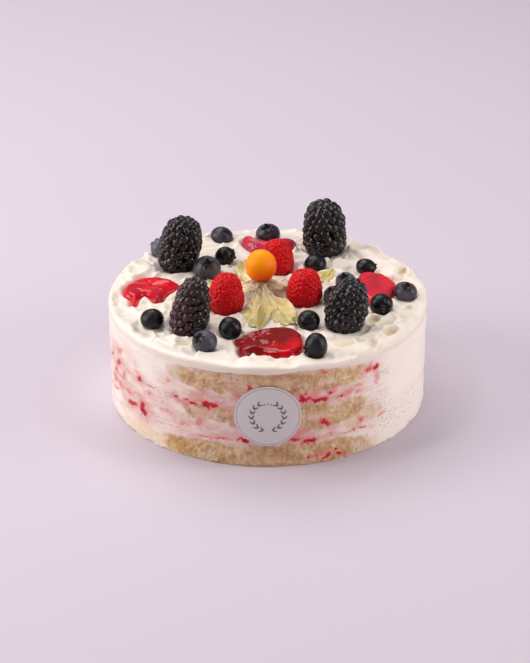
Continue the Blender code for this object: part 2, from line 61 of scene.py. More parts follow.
# Bramble berries: place, height, widest radius, taper, lean, seed, pitch of the drupelets, unripe tint
BRAMBLES = {
    "bramble_left_back": ((-59.0, 43.0), 36.8, 14.4, 0.10, (5.0, 0.0), 1, 5.5, 0.12),
    "bramble_left_front": ((-49.3, -47.0), 36.4, 13.8, 0.34, (5.5, 1.0), 2, 5.4, 1.0),
    "bramble_right_back": ((38.0, 68.0), 38.3, 15.6, 0.20, (-1.5, 0.0), 3, 5.9, 0.08),
    "bramble_right_front": ((46.0, -43.6), 33.0, 14.0, 0.20, (4.5, 1.0), 4, 5.1, 0.05),
}
RASPBERRIES = {
    "raspberry_left": ((-26.0, -18.6), 25.9, 12.8, 0.28, (0.5, 0.5), 5, 3.1, 0.5),
    "raspberry_back": ((6.8, 38.2), 23.8, 12.1, 0.26, (-1.0, 0.0), 6, 3.1, 0.5),
    "raspberry_right": ((22.2, -8.4), 24.2, 12.8, 0.26, (1.5, 0.5), 7, 3.1, 0.5),
}
RASPBERRY_BALL = {"u_segments": 12, "v_segments": 8}
# Blueberries: place, radius, height over width, crown's azimuth and elevation in degrees
BLUEBERRIES = (
    ((-30.4, 83.0), 7.4, 0.79, 95, -14),
    ((-70.0, 60.3), 6.8, 0.95, 150, 40),
    ((-27.7, 48.6), 6.5, 1.00, 8, 12),
    ((-38.7, 27.5), 8.7, 0.90, 278, 46),
    ((0.5, 83.5), 8.3, 0.83, 262, 60),
    ((-70.5, -44.3), 7.2, 0.92, 60, -12),
    ((-37.6, -75.5), 7.7, 0.93, 235, 42),
    ((-22.7, -57.2), 7.2, 0.98, 60, -12),
    ((24.9, -45.4), 7.1, 0.90, 80, -12),
    ((28.6, -82.8), 6.9, 1.20, 205, -18),
    ((30.9, 39.4), 7.3, 0.78, 100, 35),
    ((63.2, 35.0), 6.5, 0.80, 340, 4),
    ((49.5, 8.6), 6.8, 0.98, 250, 55),
    ((41.6, -12.8), 7.0, 1.00, 240, 50),
    ((70.1, -24.4), 7.2, 0.98, 292, 8),
    ((86.3, -3.2), 7.5, 0.78, 285, 62),
)
# How much grey bloom each blueberry carries
BLOOM = (0.45, 0.95, 0.05, 0.5, 0.5, 0.05, 0.6, 0.1, 0.05, 0.15, 0.1, 0.0, 0.8, 0.7, 0.0, 0.45)
GROUND = 66.3
BERRY_SINK = 2.6
BLUEBERRY_SINK = 1.3

# Jam pools: outline corners in order, thickness
JAMS = {
    "jam_left": (
        ((-91, 4), (-88, 14), (-81, 21), (-71, 22), (-62, 18), (-55, 10), (-58, 4), (-63, -1), (-65, -8),
         (-67, -11.5), (-71, -12.5), (-73.5, -7), (-77, -3), (-80, -6), (-82, -17), (-85.5, -19), (-86, -9),
         (-90, -3)),
        4.0,
    ),
    "jam_back": (
        ((-17.5, 77.5), (-13, 81), (-9, 80.5), (-5.5, 76.5), (0, 74.3), (6, 76), (10.5, 78.5), (15.5, 77.5),
         (19, 73.5), (16, 66), (6, 61), (-5, 61), (-12, 66.5)),
        7.8,
    ),
    "jam_right": (
        ((56, 15), (59, 25), (66, 28), (75, 23), (81, 13), (81, 0), (75, -10), (66, -17), (59, -8), (56, 5)),
        5.6,
    ),
    "jam_front": (
        ((-20, -64), (-12, -56), (0, -52), (10, -50), (18, -55), (22, -67), (20, -81), (11, -88),
         (1, -86), (-8, -83), (-15, -87), (-18, -80), (-18, -73)),
        5.0,
    ),
}

# How lumpy each pool is, in millimetres, how deep its red is, and how cloudy, where the cloudy pink is partly
# a painted sheen
JAM_LOOKS = {
    "jam_left": (0.8, 0.22, 0.12), "jam_back": (0.6, 0.5, 0.65), "jam_right": (0.25, 0.2, 0.32),
    "jam_front": (1.5, 0.95, 0.0),
}

# Physalis and husk petals: direction in degrees, length, half width in degrees
GOOSEBERRY_CENTRE = (-4.3, 4.6, 85.0)
GOOSEBERRY_RADIUS = 9.8
HUSK_CENTRE = (-4.2, 1.0)
HUSK_NOTCH = 9.5
HUSK_HIGH = 8.0
HUSK_PETALS = (
    (268.0, 51.0, 22.0),
    (291.0, 51.5, 17.0),
    (32.0, 55.0, 21.0),
    (109.0, 46.0, 22.0),
    (156.0, 37.5, 20.0),
)

# Looks of each petal: where its fold runs from -1 to 1, the fold's height, curled side, the curl's height,
# dryness
PETAL_LOOKS = (
    (0.15, 6.0, -1, 1.2, 0.1), (-0.35, 3.6, 1, 3.8, 0.3), (0.0, 2.4, -1, 1.6, 1.0), (0.25, 3.0, 1, 1.6, 0.2),
    (0.0, 1.8, 1, 1.0, 0.2),
)

LABEL_RADIUS = 20.0
LABEL_HEIGHT = 35.3
# Distance of the label's front and back, and of its print's, from the axis of the cake
LABEL_REACH = (100.92, 100.35)
PRINT_REACH = (100.97, 100.80)


# Noise and small sums

def smoothstep(value):
    t = np.clip(value, 0.0, 1.0)
    return t * t * (3 - 2 * t)


def bell(value, width):
    """A bell curve that is 1 where the value is 0."""
    return np.exp(-((value / width) ** 2))


def lattice(ix, iy, iz, seed):
    """A random value from 0 to 1 for each whole-numbered place."""
    h = (ix * 374761393 + iy * 668265263 + iz * 1440662683 + seed * 974634777) & 0xFFFFFFFF
    h = ((h ^ (h >> 13)) * 1274126177) & 0xFFFFFFFF
    h = ((h ^ (h >> 15)) * 2246822519) & 0xFFFFFFFF
    return ((h ^ (h >> 16)) & 0xFFFFFF) / float(0xFFFFFF)


def value_noise(points, scale, seed=0):
    """Smooth noise from -1 to 1 at each point, with bumps about this many millimetres apart."""
    p = np.asarray(points, dtype=float) / scale
    cell = np.floor(p).astype(np.int64)
    f = p - cell
    u = f * f * f * (f * (f * 6 - 15) + 10)
    total = np.zeros(len(p))
    for corner in np.ndindex(2, 2, 2):
        weight = np.prod(np.where(corner, u, 1 - u), axis=1)
        total += weight * lattice(*(cell + corner).T, seed)
    return 2 * total - 1


def fractal(points, scale, octaves=3, seed=0):
    """Noise with finer and finer parts, each half as strong as the last."""
    total, size = 0.0, 0.0
    for octave in range(octaves):
        share = 0.5**octave
        total = total + share * value_noise(points, scale * share, seed + 17 * octave)
        size += share
    return total / size * 1.35


def flat3(x, y, z=0.0):
    """Points in space from places on a level plane."""
    return np.stack([np.ravel(x), np.ravel(y), np.full(np.size(x), z)], axis=1)


def field(x, y, scale, octaves, seed, z=0.0):
    """Fractal noise over a grid of places."""
    return fractal(flat3(x, y, z), scale, octaves, seed).reshape(x.shape)


def round_side(turn, reach, z):
    """Points around the side of the cake, where a turn of zero is the front."""
    return np.stack(np.broadcast_arrays(reach * np.sin(turn), -reach * np.cos(turn), z), axis=-1)


# Meshes

def new_piece(name, verts, faces, material, nodes, attributes=None, sharp=None):
    """A piece of the object from points in millimetres, riding on the body and standing for the nodes."""
    mesh = bpy.data.meshes.new(name)
    mesh.from_pydata((np.asarray(verts, dtype=float) * MM).tolist(), [], faces)
    mesh.validate()
    mesh.shade_smooth()
    if sharp:
        mesh.set_sharp_from_angle(angle=math.radians(sharp))
    for key, values in (attributes or {}).items():
        layer = mesh.attributes.new(key, "FLOAT", "POINT")
        layer.data.foreach_set("value", np.asarray(values, dtype=np.float32))
    mesh.materials.append(material)
    obj = bpy.data.objects.new(name, mesh)
    bpy.context.scene.collection.objects.link(obj)
    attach(obj, BODY)
    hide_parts(*nodes)
    return obj


def tube_quads(index):
    """Quads between the rings of a tube, from its point numbers ring by ring."""
    after = np.roll(index, -1, axis=1)
    return np.stack([index[:-1], after[:-1], after[1:], index[1:]], axis=-1).reshape(-1, 4)


def wrapped(index):
    """The point numbers of rings with each ring's first point again at its end."""
    return np.append(index, index[:, :1], axis=1)


def fan(centre, ring):
    """Triangles from a centre to a ring of points."""
    return np.stack([np.full(len(ring), centre), ring, np.roll(ring, -1)], axis=1)


def grid_quads(index):
    """Quads between the point numbers of a grid."""
    return np.stack([index[:-1, :-1], index[1:, :-1], index[1:, 1:], index[:-1, 1:]], axis=-1).reshape(-1, 4)


def grid_border(index):
    """The point numbers round a grid, in order."""
    return np.concatenate([index[:-1, 0], index[-1, :-1], index[:0:-1, -1], index[0, :0:-1]])


def unit_ball(make, triangles=True, **settings):
    """Points and faces of a ball with a radius of one."""
    bm = bmesh.new()
    make(bm, radius=1.0, **settings)
    if triangles:
        bmesh.ops.triangulate(bm, faces=bm.faces)
    verts = np.array([tuple(v.co) for v in bm.verts])
    faces = [[v.index for v in f.verts] for f in bm.faces]
    bm.free()
    return verts, faces


def edge_distance(points, outline):
    """Distance of each point to the closed outline, negative inside it."""
    outline = np.asarray(outline, dtype=float)
    nearest = np.full(len(points), 1e9)
    crossings = np.zeros(len(points), dtype=int)
    for a, b in zip(outline, np.roll(outline, -1, axis=0)):
        along = b - a
        rel = points - a
        share = np.clip(rel @ along / max(along @ along, 1e-9), 0, 1)
        nearest = np.minimum(nearest, np.hypot(*(rel - share[:, None] * along).T))
        above = (a[1] > points[:, 1]) != (b[1] > points[:, 1])
        rise = along[1] if abs(along[1]) > 1e-9 else 1e-9
        crossings += above & (points[:, 0] < a[0] + (points[:, 1] - a[1]) * along[0] / rise)
    return np.where(crossings % 2 == 1, -nearest, nearest)


def smooth_outline(corners, steps):
    """A closed Catmull-Rom curve through the corners."""
    points = np.array(corners, dtype=float)
    a, b, c, d = (np.roll(points, -k, axis=0) for k in (-1, 0, 1, 2))
    t = (np.arange(steps) / steps)[None, :, None]
    a, b, c, d = (p[:, None, :] for p in (a, b, c, d))
    curve = 0.5 * (2 * b + (c - a) * t + (2 * a - 5 * b + 4 * c - d) * t**2 + (3 * b - a - 3 * c + d) * t**3)
    return curve.reshape(-1, 2)


# Materials

class Shader:
    """A node material with one Principled shader and short calls for the usual nodes."""

    def __init__(self, name):
        self.material = bpy.data.materials.new(name)
        self.material.use_nodes = True
        self.tree = self.material.node_tree
        self.bsdf = self.tree.nodes["Principled BSDF"]
        self.place = self.tree.nodes.new("ShaderNodeTexCoord").outputs["Object"]

    def node(self, kind, inputs, **settings):
        node = self.tree.nodes.new(kind)
        for key, value in settings.items():
            setattr(node, key, value)
        for key, value in inputs.items():
            self.put(node.inputs[key], value)
        return node

    def put(self, socket, value):
        if isinstance(value, bpy.types.NodeSocket):
            self.tree.links.new(value, socket)
        elif isinstance(value, tuple) and socket.type == "RGBA":
            socket.default_value = (*value, 1.0)
        else:
            socket.default_value = value

    def noise(self, scale, detail=3.0, roughness=0.55, place=None):
        """Noise from 0 to 1, with this many bumps to a metre."""
        inputs = {"Vector": place or self.place, "Scale": scale, "Detail": detail, "Roughness": roughness}
        return self.node("ShaderNodeTexNoise", inputs).outputs["Fac"]

    def value(self, name):
        return self.node("ShaderNodeAttribute", {}, attribute_name=name).outputs["Fac"]

    def maths(self, operation, a, b=0.0):
        return self.node("ShaderNodeMath", {0: a, 1: b}, operation=operation).outputs[0]

    def times(self, a, b):
        return self.maths("MULTIPLY", a, b)

    def plus(self, a, b):
        return self.maths("ADD", a, b)

    def around_half(self, value, strength):
        """A value from 0 to 1 as a change of this size up or down."""
        return self.times(self.maths("SUBTRACT", value, 0.5), strength)

    def step(self, value, low, high, to_low=0.0, to_high=1.0):
        """A smooth step of the value from low to high."""
        inputs = {"Value": value, "From Min": low, "From Max": high, "To Min": to_low, "To Max": to_high}
        return self.node("ShaderNodeMapRange", inputs, interpolation_type="SMOOTHSTEP").outputs[0]

    def mix(self, share, a, b):
        return self.node("ShaderNodeMix", {0: share, 6: a, 7: b}, data_type="RGBA").outputs[2]

    def tint(self, colour, share, strength, *display):
        """The colour turned towards a display colour by a share of this strength."""
        return self.mix(self.times(share, strength), colour, srgb(*display))

    def finish(self, colour, roughness, relief=None, specular=0.5, soft=None, more=None):
        """Sets the shader: relief is height, strength, distance, soft is subsurface weight, radius, scale."""
        values = {"Base Color": colour, "Roughness": roughness, "Specular IOR Level": specular}
        values.update(more or {})
        if relief:
            inputs = dict(zip(("Height", "Strength", "Distance"), relief))
            values["Normal"] = self.node("ShaderNodeBump", inputs).outputs[0]
        if soft:
            values.update(zip(("Subsurface Weight", "Subsurface Radius", "Subsurface Scale"), soft))
        for name, value in values.items():
            self.put(self.bsdf.inputs[name], value)
        return self.material


def srgb(*display):
    """A display colour from 0 to 255 as the linear colour that shaders take."""
    parts = [value / 255.0 for value in display]
    return tuple(v / 12.92 if v <= 0.04045 else ((v + 0.055) / 1.055) ** 2.4 for v in parts)


def cream_material():
    s = Shader("whipped_cream")
    broad = s.noise(35.0)
    colour = s.mix(s.step(broad, 0.35, 0.7), srgb(245, 236, 226), srgb(240, 229, 216))
    # Painted shade: the cream is darkened and warmed in its hollows.
    colour = s.tint(colour, s.value("hollow"), 0.75, 216, 196, 176)
    # Painted shade: a pale yellowish tint inside the hollows and cups.
    colour = s.tint(colour, s.value("yellow_shade"), 0.8, 236, 222, 158)
    # Painted shade: the lower face of the lip is darker and warmer.
    colour = s.tint(colour, s.value("face"), 0.45, 234, 218, 200)
    relief = (s.noise(330.0, 4.0), 0.25, 0.0006)
    return s.finish(colour, s.step(broad, 0.3, 0.7, 0.36, 0.5), relief, 0.4, (0.15, (1.0, 0.85, 0.7), 0.002))


def side_material():
    s = Shader("cake_side")
    crumb = s.noise(520.0, 5.0, 0.65)
    coarse = s.noise(150.0, 4.0, 0.6)
    blotch = s.noise(85.0)
    golden = s.value("golden")
    stretched = s.node("ShaderNodeMapping", {"Vector": s.place, "Scale": (0.4, 0.4, 1.7)}).outputs[0]
    streaks = s.noise(80.0, 4.0, place=stretched)
    bare = s.maths("SUBTRACT", 1.0, s.value("cream"))
    ragged = s.times(s.maths("SUBTRACT", crumb, 0.5), s.times(bare, 0.75))
    sponge_share = s.step(s.plus(bare, ragged), 0.06, 0.92)
    sponge = s.mix(s.step(coarse, 0.36, 0.64), srgb(194, 153, 110), srgb(222, 190, 150))
    sponge = s.tint(sponge, s.step(blotch, 0.52, 0.68), 0.6, 232, 210, 184)
    sponge = s.tint(sponge, s.step(blotch, 0.46, 0.32), 0.5, 172, 122, 88)
    sponge = s.tint(sponge, golden, 0.75, 212, 172, 96)
    sponge = s.tint(sponge, s.step(crumb, 0.47, 0.36), 0.36, 154, 108, 76)
    sponge = s.tint(sponge, s.step(crumb, 0.55, 0.66), 0.36, 236, 214, 188)
    white = s.mix(s.step(streaks, 0.35, 0.65), srgb(249, 239, 230), srgb(246, 234, 226))
    # Pinkish cream colours, darkened so that they also carry painted shade.
    pink_and_shade = s.mix(s.step(streaks, 0.3, 0.7), srgb(230, 190, 182), srgb(212, 160, 150))
    pink_and_shade = s.mix(s.step(coarse, 0.52, 0.72), pink_and_shade, srgb(224, 198, 186))
    cream = s.tint(s.mix(s.value("pink_and_shade"), white, pink_and_shade), golden, 0.5, 246, 230, 180)
    colour = s.mix(sponge_share, cream, sponge)
    jam = s.plus(s.value("jam"), s.around_half(coarse, 0.22))
    colour = s.tint(colour, s.step(jam, 0.06, 0.4), 0.78, 224, 130, 130)
    colour = s.mix(s.step(jam, 0.42, 0.66), colour, srgb(206, 34, 44))
    colour = s.mix(s.step(jam, 0.78, 1.05), colour, srgb(150, 4, 16))
    cells = s.node("ShaderNodeTexVoronoi", {"Vector": s.place, "Scale": 700.0})
    dot = s.step(cells.outputs["Distance"], 0.42, 0.2)
    chosen = s.step(s.node("ShaderNodeSeparateColor", {0: cells.outputs["Color"]}).outputs[0], 0.38, 0.6)
    pits = s.times(s.times(dot, chosen), s.value("pits"))
    # Painted shade: the small pits in the cream are darkened.
    colour = s.tint(colour, pits, 0.6, 146, 108, 104)
    rough = s.mix(sponge_share, (0.48, 0.48, 0.48), (0.85, 0.85, 0.85))
    rough = s.mix(s.step(jam, 0.4, 0.62), rough, (0.2, 0.2, 0.2))
    depth = s.times(crumb, s.plus(s.times(sponge_share, 0.9), 0.1))
    depth = s.maths("SUBTRACT", depth, s.times(pits, 0.5))
    return s.finish(colour, rough, (depth, 0.6, 0.0008), 0.35, (0.15, (1.0, 0.7, 0.5), 0.002))


def bramble_material():
    s = Shader("bramble_skin")
    spots = s.noise(300.0)
    colour = s.tint(s.mix(spots, srgb(7, 4, 7), srgb(24, 15, 20)), s.value("tone"), 0.8, 66, 18, 32)
    # Painted shade: the inner side of each drupelet, down in the gaps, is near black.
    colour = s.mix(s.value("depth"), srgb(5, 3, 4), colour)
    rough = s.plus(s.step(spots, 0.3, 0.7, 0.04, 0.14), s.times(s.value("dull"), 0.3))
    return s.finish(colour, rough, (s.noise(420.0), 0.3, 0.0005), 0.45)


def raspberry_material():
    s = Shader("raspberry_skin")
    hairs_and_highlights = s.noise(1300.0, 2.0)
    high = s.step(s.value("high"), 0.1, 0.75)
    colour = s.mix(s.value("tone"), srgb(198, 0, 12), srgb(226, 8, 24))
    # Painted shade: the lower part of the berry is a darker red.
    colour = s.mix(high, s.mix(0.65, colour, srgb(134, 0, 6)), colour)
    # Painted shade: the inner side of each drupelet, down in the gaps, is a darker red.
    colour = s.mix(s.value("depth"), srgb(158, 0, 6), colour)
    # Pale specks for the fine hairs, kept to the upper part where they also serve as painted highlights.
    colour = s.tint(colour, s.step(hairs_and_highlights, 0.60, 0.70), s.times(high, 0.4), 250, 120, 122)
    rough = s.step(s.noise(380.0), 0.3, 0.7, 0.22, 0.38)
    return s.finish(colour, rough, (hairs_and_highlights, 0.2, 0.0003), 0.15, (0.2, (1.0, 0.05, 0.05), 0.002))


def blueberry_material():
    s = Shader("blueberry_skin")
    bloom = s.noise(130.0, 4.0, 0.6)
    fine = s.noise(900.0, 3.0, 0.6)
    share = s.plus(s.times(bloom, 0.7), s.times(s.value("tone"), 0.75))
    skin = s.mix(fine, srgb(9, 9, 12), srgb(20, 19, 23))
    colour = s.mix(s.step(share, 0.45, 1.1), skin, srgb(98, 95, 108))
    colour = s.mix(s.value("crown"), colour, s.mix(fine, srgb(10, 8, 9), srgb(34, 28, 31)))
    rough = s.step(bloom, 0.35, 0.7, 0.22, 0.42)
    return s.finish(colour, rough, (s.noise(260.0, 4.0, 0.6), 0.4, 0.0008), 0.3)


def gooseberry_material():
    s = Shader("gooseberry_skin")
    spots = s.noise(160.0)
    # Painted light and shade: yellow-orange towards the top, left and front, deeper orange towards the bottom
    # right.
    colour = s.mix(s.step(s.value("up"), 0.1, 0.85), srgb(236, 74, 0), srgb(255, 158, 0))
    colour = s.tint(colour, s.step(spots, 0.55, 0.8), 0.25, 255, 184, 50)
    relief = (s.noise(1100.0, 2.0), 0.08, 0.0003)
    rough = s.step(spots, 0.3, 0.7, 0.36, 0.46)
    return s.finish(colour, rough, relief, 0.18, (0.25, (1.0, 0.35, 0.05), 0.003))


def husk_material():
    s = Shader("gooseberry_husk")
    along, vein, stripe = (s.value(name) for name in ("along", "vein", "stripe"))
    fibres = s.noise(700.0, 4.0, 0.7)
    colour = s.mix(s.step(s.noise(120.0, 4.0, 0.6), 0.35, 0.65), srgb(255, 238, 176), srgb(250, 218, 136))
    colour = s.tint(colour, s.step(along, 0.6, 1.0), 0.5, 208, 194, 112)
    colour = s.tint(colour, s.step(fibres, 0.5, 0.75), 0.4, 246, 238, 206)
    colour = s.tint(colour, vein, 0.3, 184, 168, 92)
    # Painted shade along the petals' folds.
    colour = s.tint(colour, s.value("crease_shade"), 0.55, 142, 130, 54)
    dried = s.mix(s.step(stripe, 0.3, 0.62), srgb(184, 142, 102), srgb(250, 228, 192))
    colour = s.mix(s.value("dry"), colour, dried)
    hub = s.mix(s.step(stripe, 0.12, 0.38), srgb(168, 132, 74), srgb(255, 248, 216))
    near = s.step(s.plus(along, s.around_half(fibres, 0.15)), 0.36, 0.16)
    colour = s.mix(s.times(near, 0.85), colour, hub)
    dark = s.times(s.step(along, 0.13, 0.03), s.step(stripe, 0.75, 0.4))
    colour = s.tint(colour, dark, 0.9, 84, 54, 30)
    relief = (s.plus(s.times(vein, 0.8), s.times(fibres, 0.4)), 0.5, 0.0006)
    return s.finish(colour, 0.5, relief, 0.3, (0.4, (1.0, 0.9, 0.4), 0.002), {"Sheen Weight": 0.1})


def jam_material():
    s = Shader("berry_jam")
    share = s.plus(s.value("deep"), s.around_half(s.noise(150.0), 0.3))
    colour = s.mix(s.step(share, 0.0, 1.0), srgb(220, 0, 24), srgb(124, 0, 6))
    # A cloudy pink tint, partly real and partly a painted sheen, stronger on the wrinkles.
    colour = s.tint(colour, s.value("cloud_and_sheen"), 0.75, 212, 76, 104)
    relief = (s.noise(170.0, 1.0, 0.4), 0.2, 0.0006)
    return s.finish(colour, 0.05, relief, 0.32, (0.15, (1.0, 0.03, 0.03), 0.002))


def label_material():
    s = Shader("label_paper")
    parts = s.node("ShaderNodeSeparateXYZ", {0: s.place}).outputs
    across = s.times(parts["X"], 1 / MM)
    up = s.maths("SUBTRACT", s.times(parts["Z"], 1 / MM), LABEL_HEIGHT)
    reach = s.maths("SQRT", s.plus(s.maths("POWER", across, 2.0), s.maths("POWER", up, 2.0)))
    ring = s.times(s.step(reach, 18.55, 18.75), s.step(reach, 19.15, 18.95))
    grain = s.noise(1500.0)
    colour = s.mix(s.step(grain, 0.35, 0.65), srgb(208, 203, 205), srgb(216, 211, 213))
    colour = s.tint(colour, ring, 0.75, 122, 116, 122)
    rough = s.step(grain, 0.3, 0.7, 0.36, 0.44)
    return s.finish(colour, rough, (grain, 0.05, 0.0001), more={"Metallic": 0.15})


def print_material():
    s = Shader("label_print")
    return s.finish(s.mix(s.noise(1800.0, 2.0), srgb(104, 92, 90), srgb(124, 112, 108)), 0.45)


def floor_material():
    s = Shader("floor")
    return s.finish(s.mix(s.noise(1.4, 2.0), (0.61, 0.555, 0.64), (0.635, 0.58, 0.665)), 0.7)


# Cream top

RIM_START = 98.0
CREAM_STEP = 0.5
CREAM_HALF = 104.0
CREAM_UNDERSIDE = 62.4
CREAM_LEVEL = 67.5
CREAM_RANGE = (64.4, 72.6)
CREAM_GRID = 268
# Lower edge of the cream's lip, and where it is lifted: azimuth, half width in degrees, height
LIP_LOW = 62.2
LIP_LIFTS = ((14, 13, 2.6), (-12, 12, 0.8))
# Strokes of the spatula: count, longest and widest in millimetres, strength, and the smoothing after them
DABS = ((200, 16.5, 9.5, 1.05, 1.4), (110, 11.0, 6.0, 0.8, 0.5))
# Small cups in the cream, with painted yellowish shade inside: place, half length, half width, turn in
# degrees
CUPS = (
    (45.5, -68.5, 8.5, 5.0, 8), (73.5, -57.0, 7.0, 3.6, 30), (-50.0, -68.0, 6.5, 3.6, -20),
    (86.0, 29.5, 8.0, 4.0, 75), (64.0, -38.5, 6.5, 4.5, 60), (88.0, -21.0, 6.0, 4.5, 100),
    (55.0, 55.0, 6.0, 4.0, 130), (-66.0, 76.0, 6.0, 4.0, 40),
)


def liveliness(x, y):
    """How strongly the cream is worked at a place: calm at the front left, peaky on the right."""
    return 1.2 + 0.15 * smoothstep((x + 10) / 60) - 0.15 * smoothstep((-x - y - 60) / 50)


def fruit_circles(berry_share, blueberry_share):
    """Centre and radius of every fruit that stands in the cream, at these shares of its full radius."""
    tall = list(BRAMBLES.values()) + list(RASPBERRIES.values())
    found = [(x, y, berry_share * r) for (x, y), _, r, *_ in tall]
    return found + [(x, y, blueberry_share * r) for (x, y), r, *_ in BLUEBERRIES]


def lay_dab(grid, x, y, place, size, turn, heights, lip):
    """One stroke of the spatula over the grid: a hollow with a step at its edge and a lip at its end."""
    (cx, cy), (length, width) = place, size
    level, along, across, rise = heights
    span = 1.5 * length
    i0, i1 = (int((c + CREAM_HALF) / CREAM_STEP) for c in (cx - span, cx + span))
    j0, j1 = (int((c + CREAM_HALF) / CREAM_STEP) for c in (cy - span, cy + span))
    window = (slice(max(i0, 0), max(i1, 0)), slice(max(j0, 0), max(j1, 0)))
    dx, dy = x[window] - cx, y[window] - cy
    u = (dx * math.cos(turn) + dy * math.sin(turn)) / length
    v = (dy * math.cos(turn) - dx * math.sin(turn)) / width
    v = v + 0.25 * u * u * (1 if lip > 1.5 else -1)
    q = np.abs(u) ** 2.2 + np.abs(v) ** 2.2
    bowl = level + along * u + across * v + rise * v * v + 0.5 * u * u
    grid[window] += (bowl - grid[window]) * smoothstep((1 - q) / 0.26)
    crest = bell(np.sqrt(q) - 1.0, 0.12)
    grid[window] += lip * crest * (smoothstep((u + 0.1) / 0.9) + 0.3 * smoothstep((np.abs(v) - 0.3) / 0.5))


def worked_cream():
    """Height of the cream on a square grid, and how hollow each place is, which sets the painted shade in the
    hollows.
    """
    rng = np.random.RandomState(11)
    axis = np.arange(-CREAM_HALF, CREAM_HALF + 0.1, CREAM_STEP)
    x, y = np.meshgrid(axis, axis, indexing="ij")
    height = CREAM_LEVEL + 0.8 * field(x, y, 26, 2, 3)
    for count, longest, widest, strength, soft in DABS:
        for _ in range(count):
            reach, around = 101 * math.sqrt(rng.rand()), rng.uniform(0, 2 * math.pi)
            place = (reach * math.cos(around), reach * math.sin(around))
            live = float(liveliness(*place)) * strength
            size = (rng.uniform(0.5, 1.0) * longest, rng.uniform(0.5, 1.0) * widest)
            turn = around + math.pi / 2 + rng.normal(0, 0.95)
            i, j = (int((c + CREAM_HALF) / CREAM_STEP) for c in place)
            level = 67.7 + 0.7 * (1 - strength) * (float(height[i, j]) - 67.7)
            heights = (
                level + live * rng.uniform(-1.3, 1.2), live * rng.uniform(-0.7, 1.2),
                live * rng.uniform(-1.1, 1.1), live * rng.uniform(0.3, 1.5),
            )
            lay_dab(height, x, y, place, size, turn, heights, live * rng.rand() ** 1.6 * 2.6)
        height = blurred(height, soft)
    for cx, cy, length, width, turn in CUPS:
        lay_dab(height, x, y, (cx, cy), (length, width), math.radians(turn), (66.4, -0.8, 0.3, 1.6), 1.8)
    height = blurred(height, 0.8)
    height += 0.07 * field(x, y, 3.5, 2, 9)
    height = settle(x, y, height)
    return height, np.clip((blurred(height, 7.0) - height) / 1.6, 0, 1)


def blurred(grid, sigma):
    """The grid smoothed by a Gaussian of this many cells."""
    first, second = (np.exp(-2 * (math.pi * np.fft.fftfreq(n) * sigma) ** 2) for n in grid.shape)
    return np.real(np.fft.ifft2(np.fft.fft2(grid) * first[:, None] * second[None, :]))


def settle(x, y, height):
    """Presses the cream under what stands on it, lets it hug the fruit, and calms it towards the rim."""
    spots = flat3(x, y)[:, :2]
    reach = np.hypot(x, y)
    azimuth = np.degrees(np.arctan2(x, -y))
    calm = 0.15 + 0.55 * smoothstep((56 - np.abs(azimuth + 16)) / 22)
    rim = 68.3 + 0.5 * field(x, y, 15, 2, 21)
    height = height + (rim - height) * smoothstep((reach - 90 - 3 * (1 - calm)) / 6) * calm
    rolled = 1 - smoothstep((50 - np.abs(azimuth)) / 14)
    lumps = 0.9 * field(x, y, 11, 2, 24)
    height = height + rolled * (0.9 * smoothstep((y + 40) / 80) + lumps) * smoothstep((reach - 80) / 8)
    height = np.clip(height, *CREAM_RANGE)
    hug = field(x, y, 7.0, 2, 23)
    for cx, cy, radius in fruit_circles(0.86, 0.72):
        away = np.hypot(x - cx, y - cy)
        near = 1 - smoothstep((away - radius - 0.3) / 3.0)
        height = height + (67.0 + 0.9 * hug - height) * near * 0.9
        height = height - 1.2 * smoothstep((radius - away) / 2.5)
    for corners, _ in JAMS.values():
        away = edge_distance(spots, smooth_outline(corners, 4)).reshape(x.shape)
        near = 1 - smoothstep((away + 0.3) / 2.6)
        height = height + (66.4 - height) * near
    away = np.hypot(x - HUSK_CENTRE[0], y - HUSK_CENTRE[1])
    height = height + (66.8 - height) * (1 - smoothstep((away - 13) / 9)) * 0.85
    return height


CREAM_Z, CREAM_HOLLOW_SHADE = worked_cream()


def cream_at(x, y, z=CREAM_Z):
    """Height of the cream at each place, or another of its values, from the grid."""
    i = np.clip((np.asarray(x) + CREAM_HALF) / CREAM_STEP, 0, z.shape[0] - 1.001)
    j = np.clip((np.asarray(y) + CREAM_HALF) / CREAM_STEP, 0, z.shape[1] - 1.001)
    i0, j0 = i.astype(int), j.astype(int)
    fi, fj = i - i0, j - j0
    return (
        z[i0, j0] * (1 - fi) * (1 - fj) + z[i0 + 1, j0] * fi * (1 - fj)
        + z[i0, j0 + 1] * (1 - fi) * fj + z[i0 + 1, j0 + 1] * fi * fj
    )


def disc_grid(count):
    """A square grid bent into a unit disc: its points, its quads and its border in order."""
    axis = np.linspace(-1, 1, count + 1)
    a, b = np.meshgrid(axis, axis, indexing="ij")
    wide = np.abs(a) >= np.abs(b)
    safe_a, safe_b = np.where(a == 0, 1, a), np.where(b == 0, 1, b)
    radius = np.where(wide, a, b)
    turn = np.where(wide, math.pi / 4 * b / safe_a, math.pi / 2 - math.pi / 4 * a / safe_b)
    points = np.stack([(radius * np.cos(turn)).ravel(), (radius * np.sin(turn)).ravel()], axis=1)
    index = np.arange((count + 1) ** 2).reshape(count + 1, count + 1)
    return points, grid_quads(index), grid_border(index)


def lip_front(azimuth):
    """Where the cream forms a lip over the side, from 0 to 1."""
    front = smoothstep((48 - np.abs(azimuth)) / 10)
    return np.maximum(front, 0.7 * smoothstep((56 - np.abs(np.abs(azimuth) - 178)) / 12))


def lip_height(azimuth):
    """Height of the lower edge of the cream, where it meets the side."""
    on_rim = round_side(np.radians(azimuth), CAKE_RADIUS, 0.0)
    lifted = sum(height * bell(azimuth - centre, half) for centre, half, height in LIP_LIFTS)
    return LIP_LOW + lifted + 0.75 * lip_front(azimuth) * fractal(on_rim, 11, 3, seed=33)


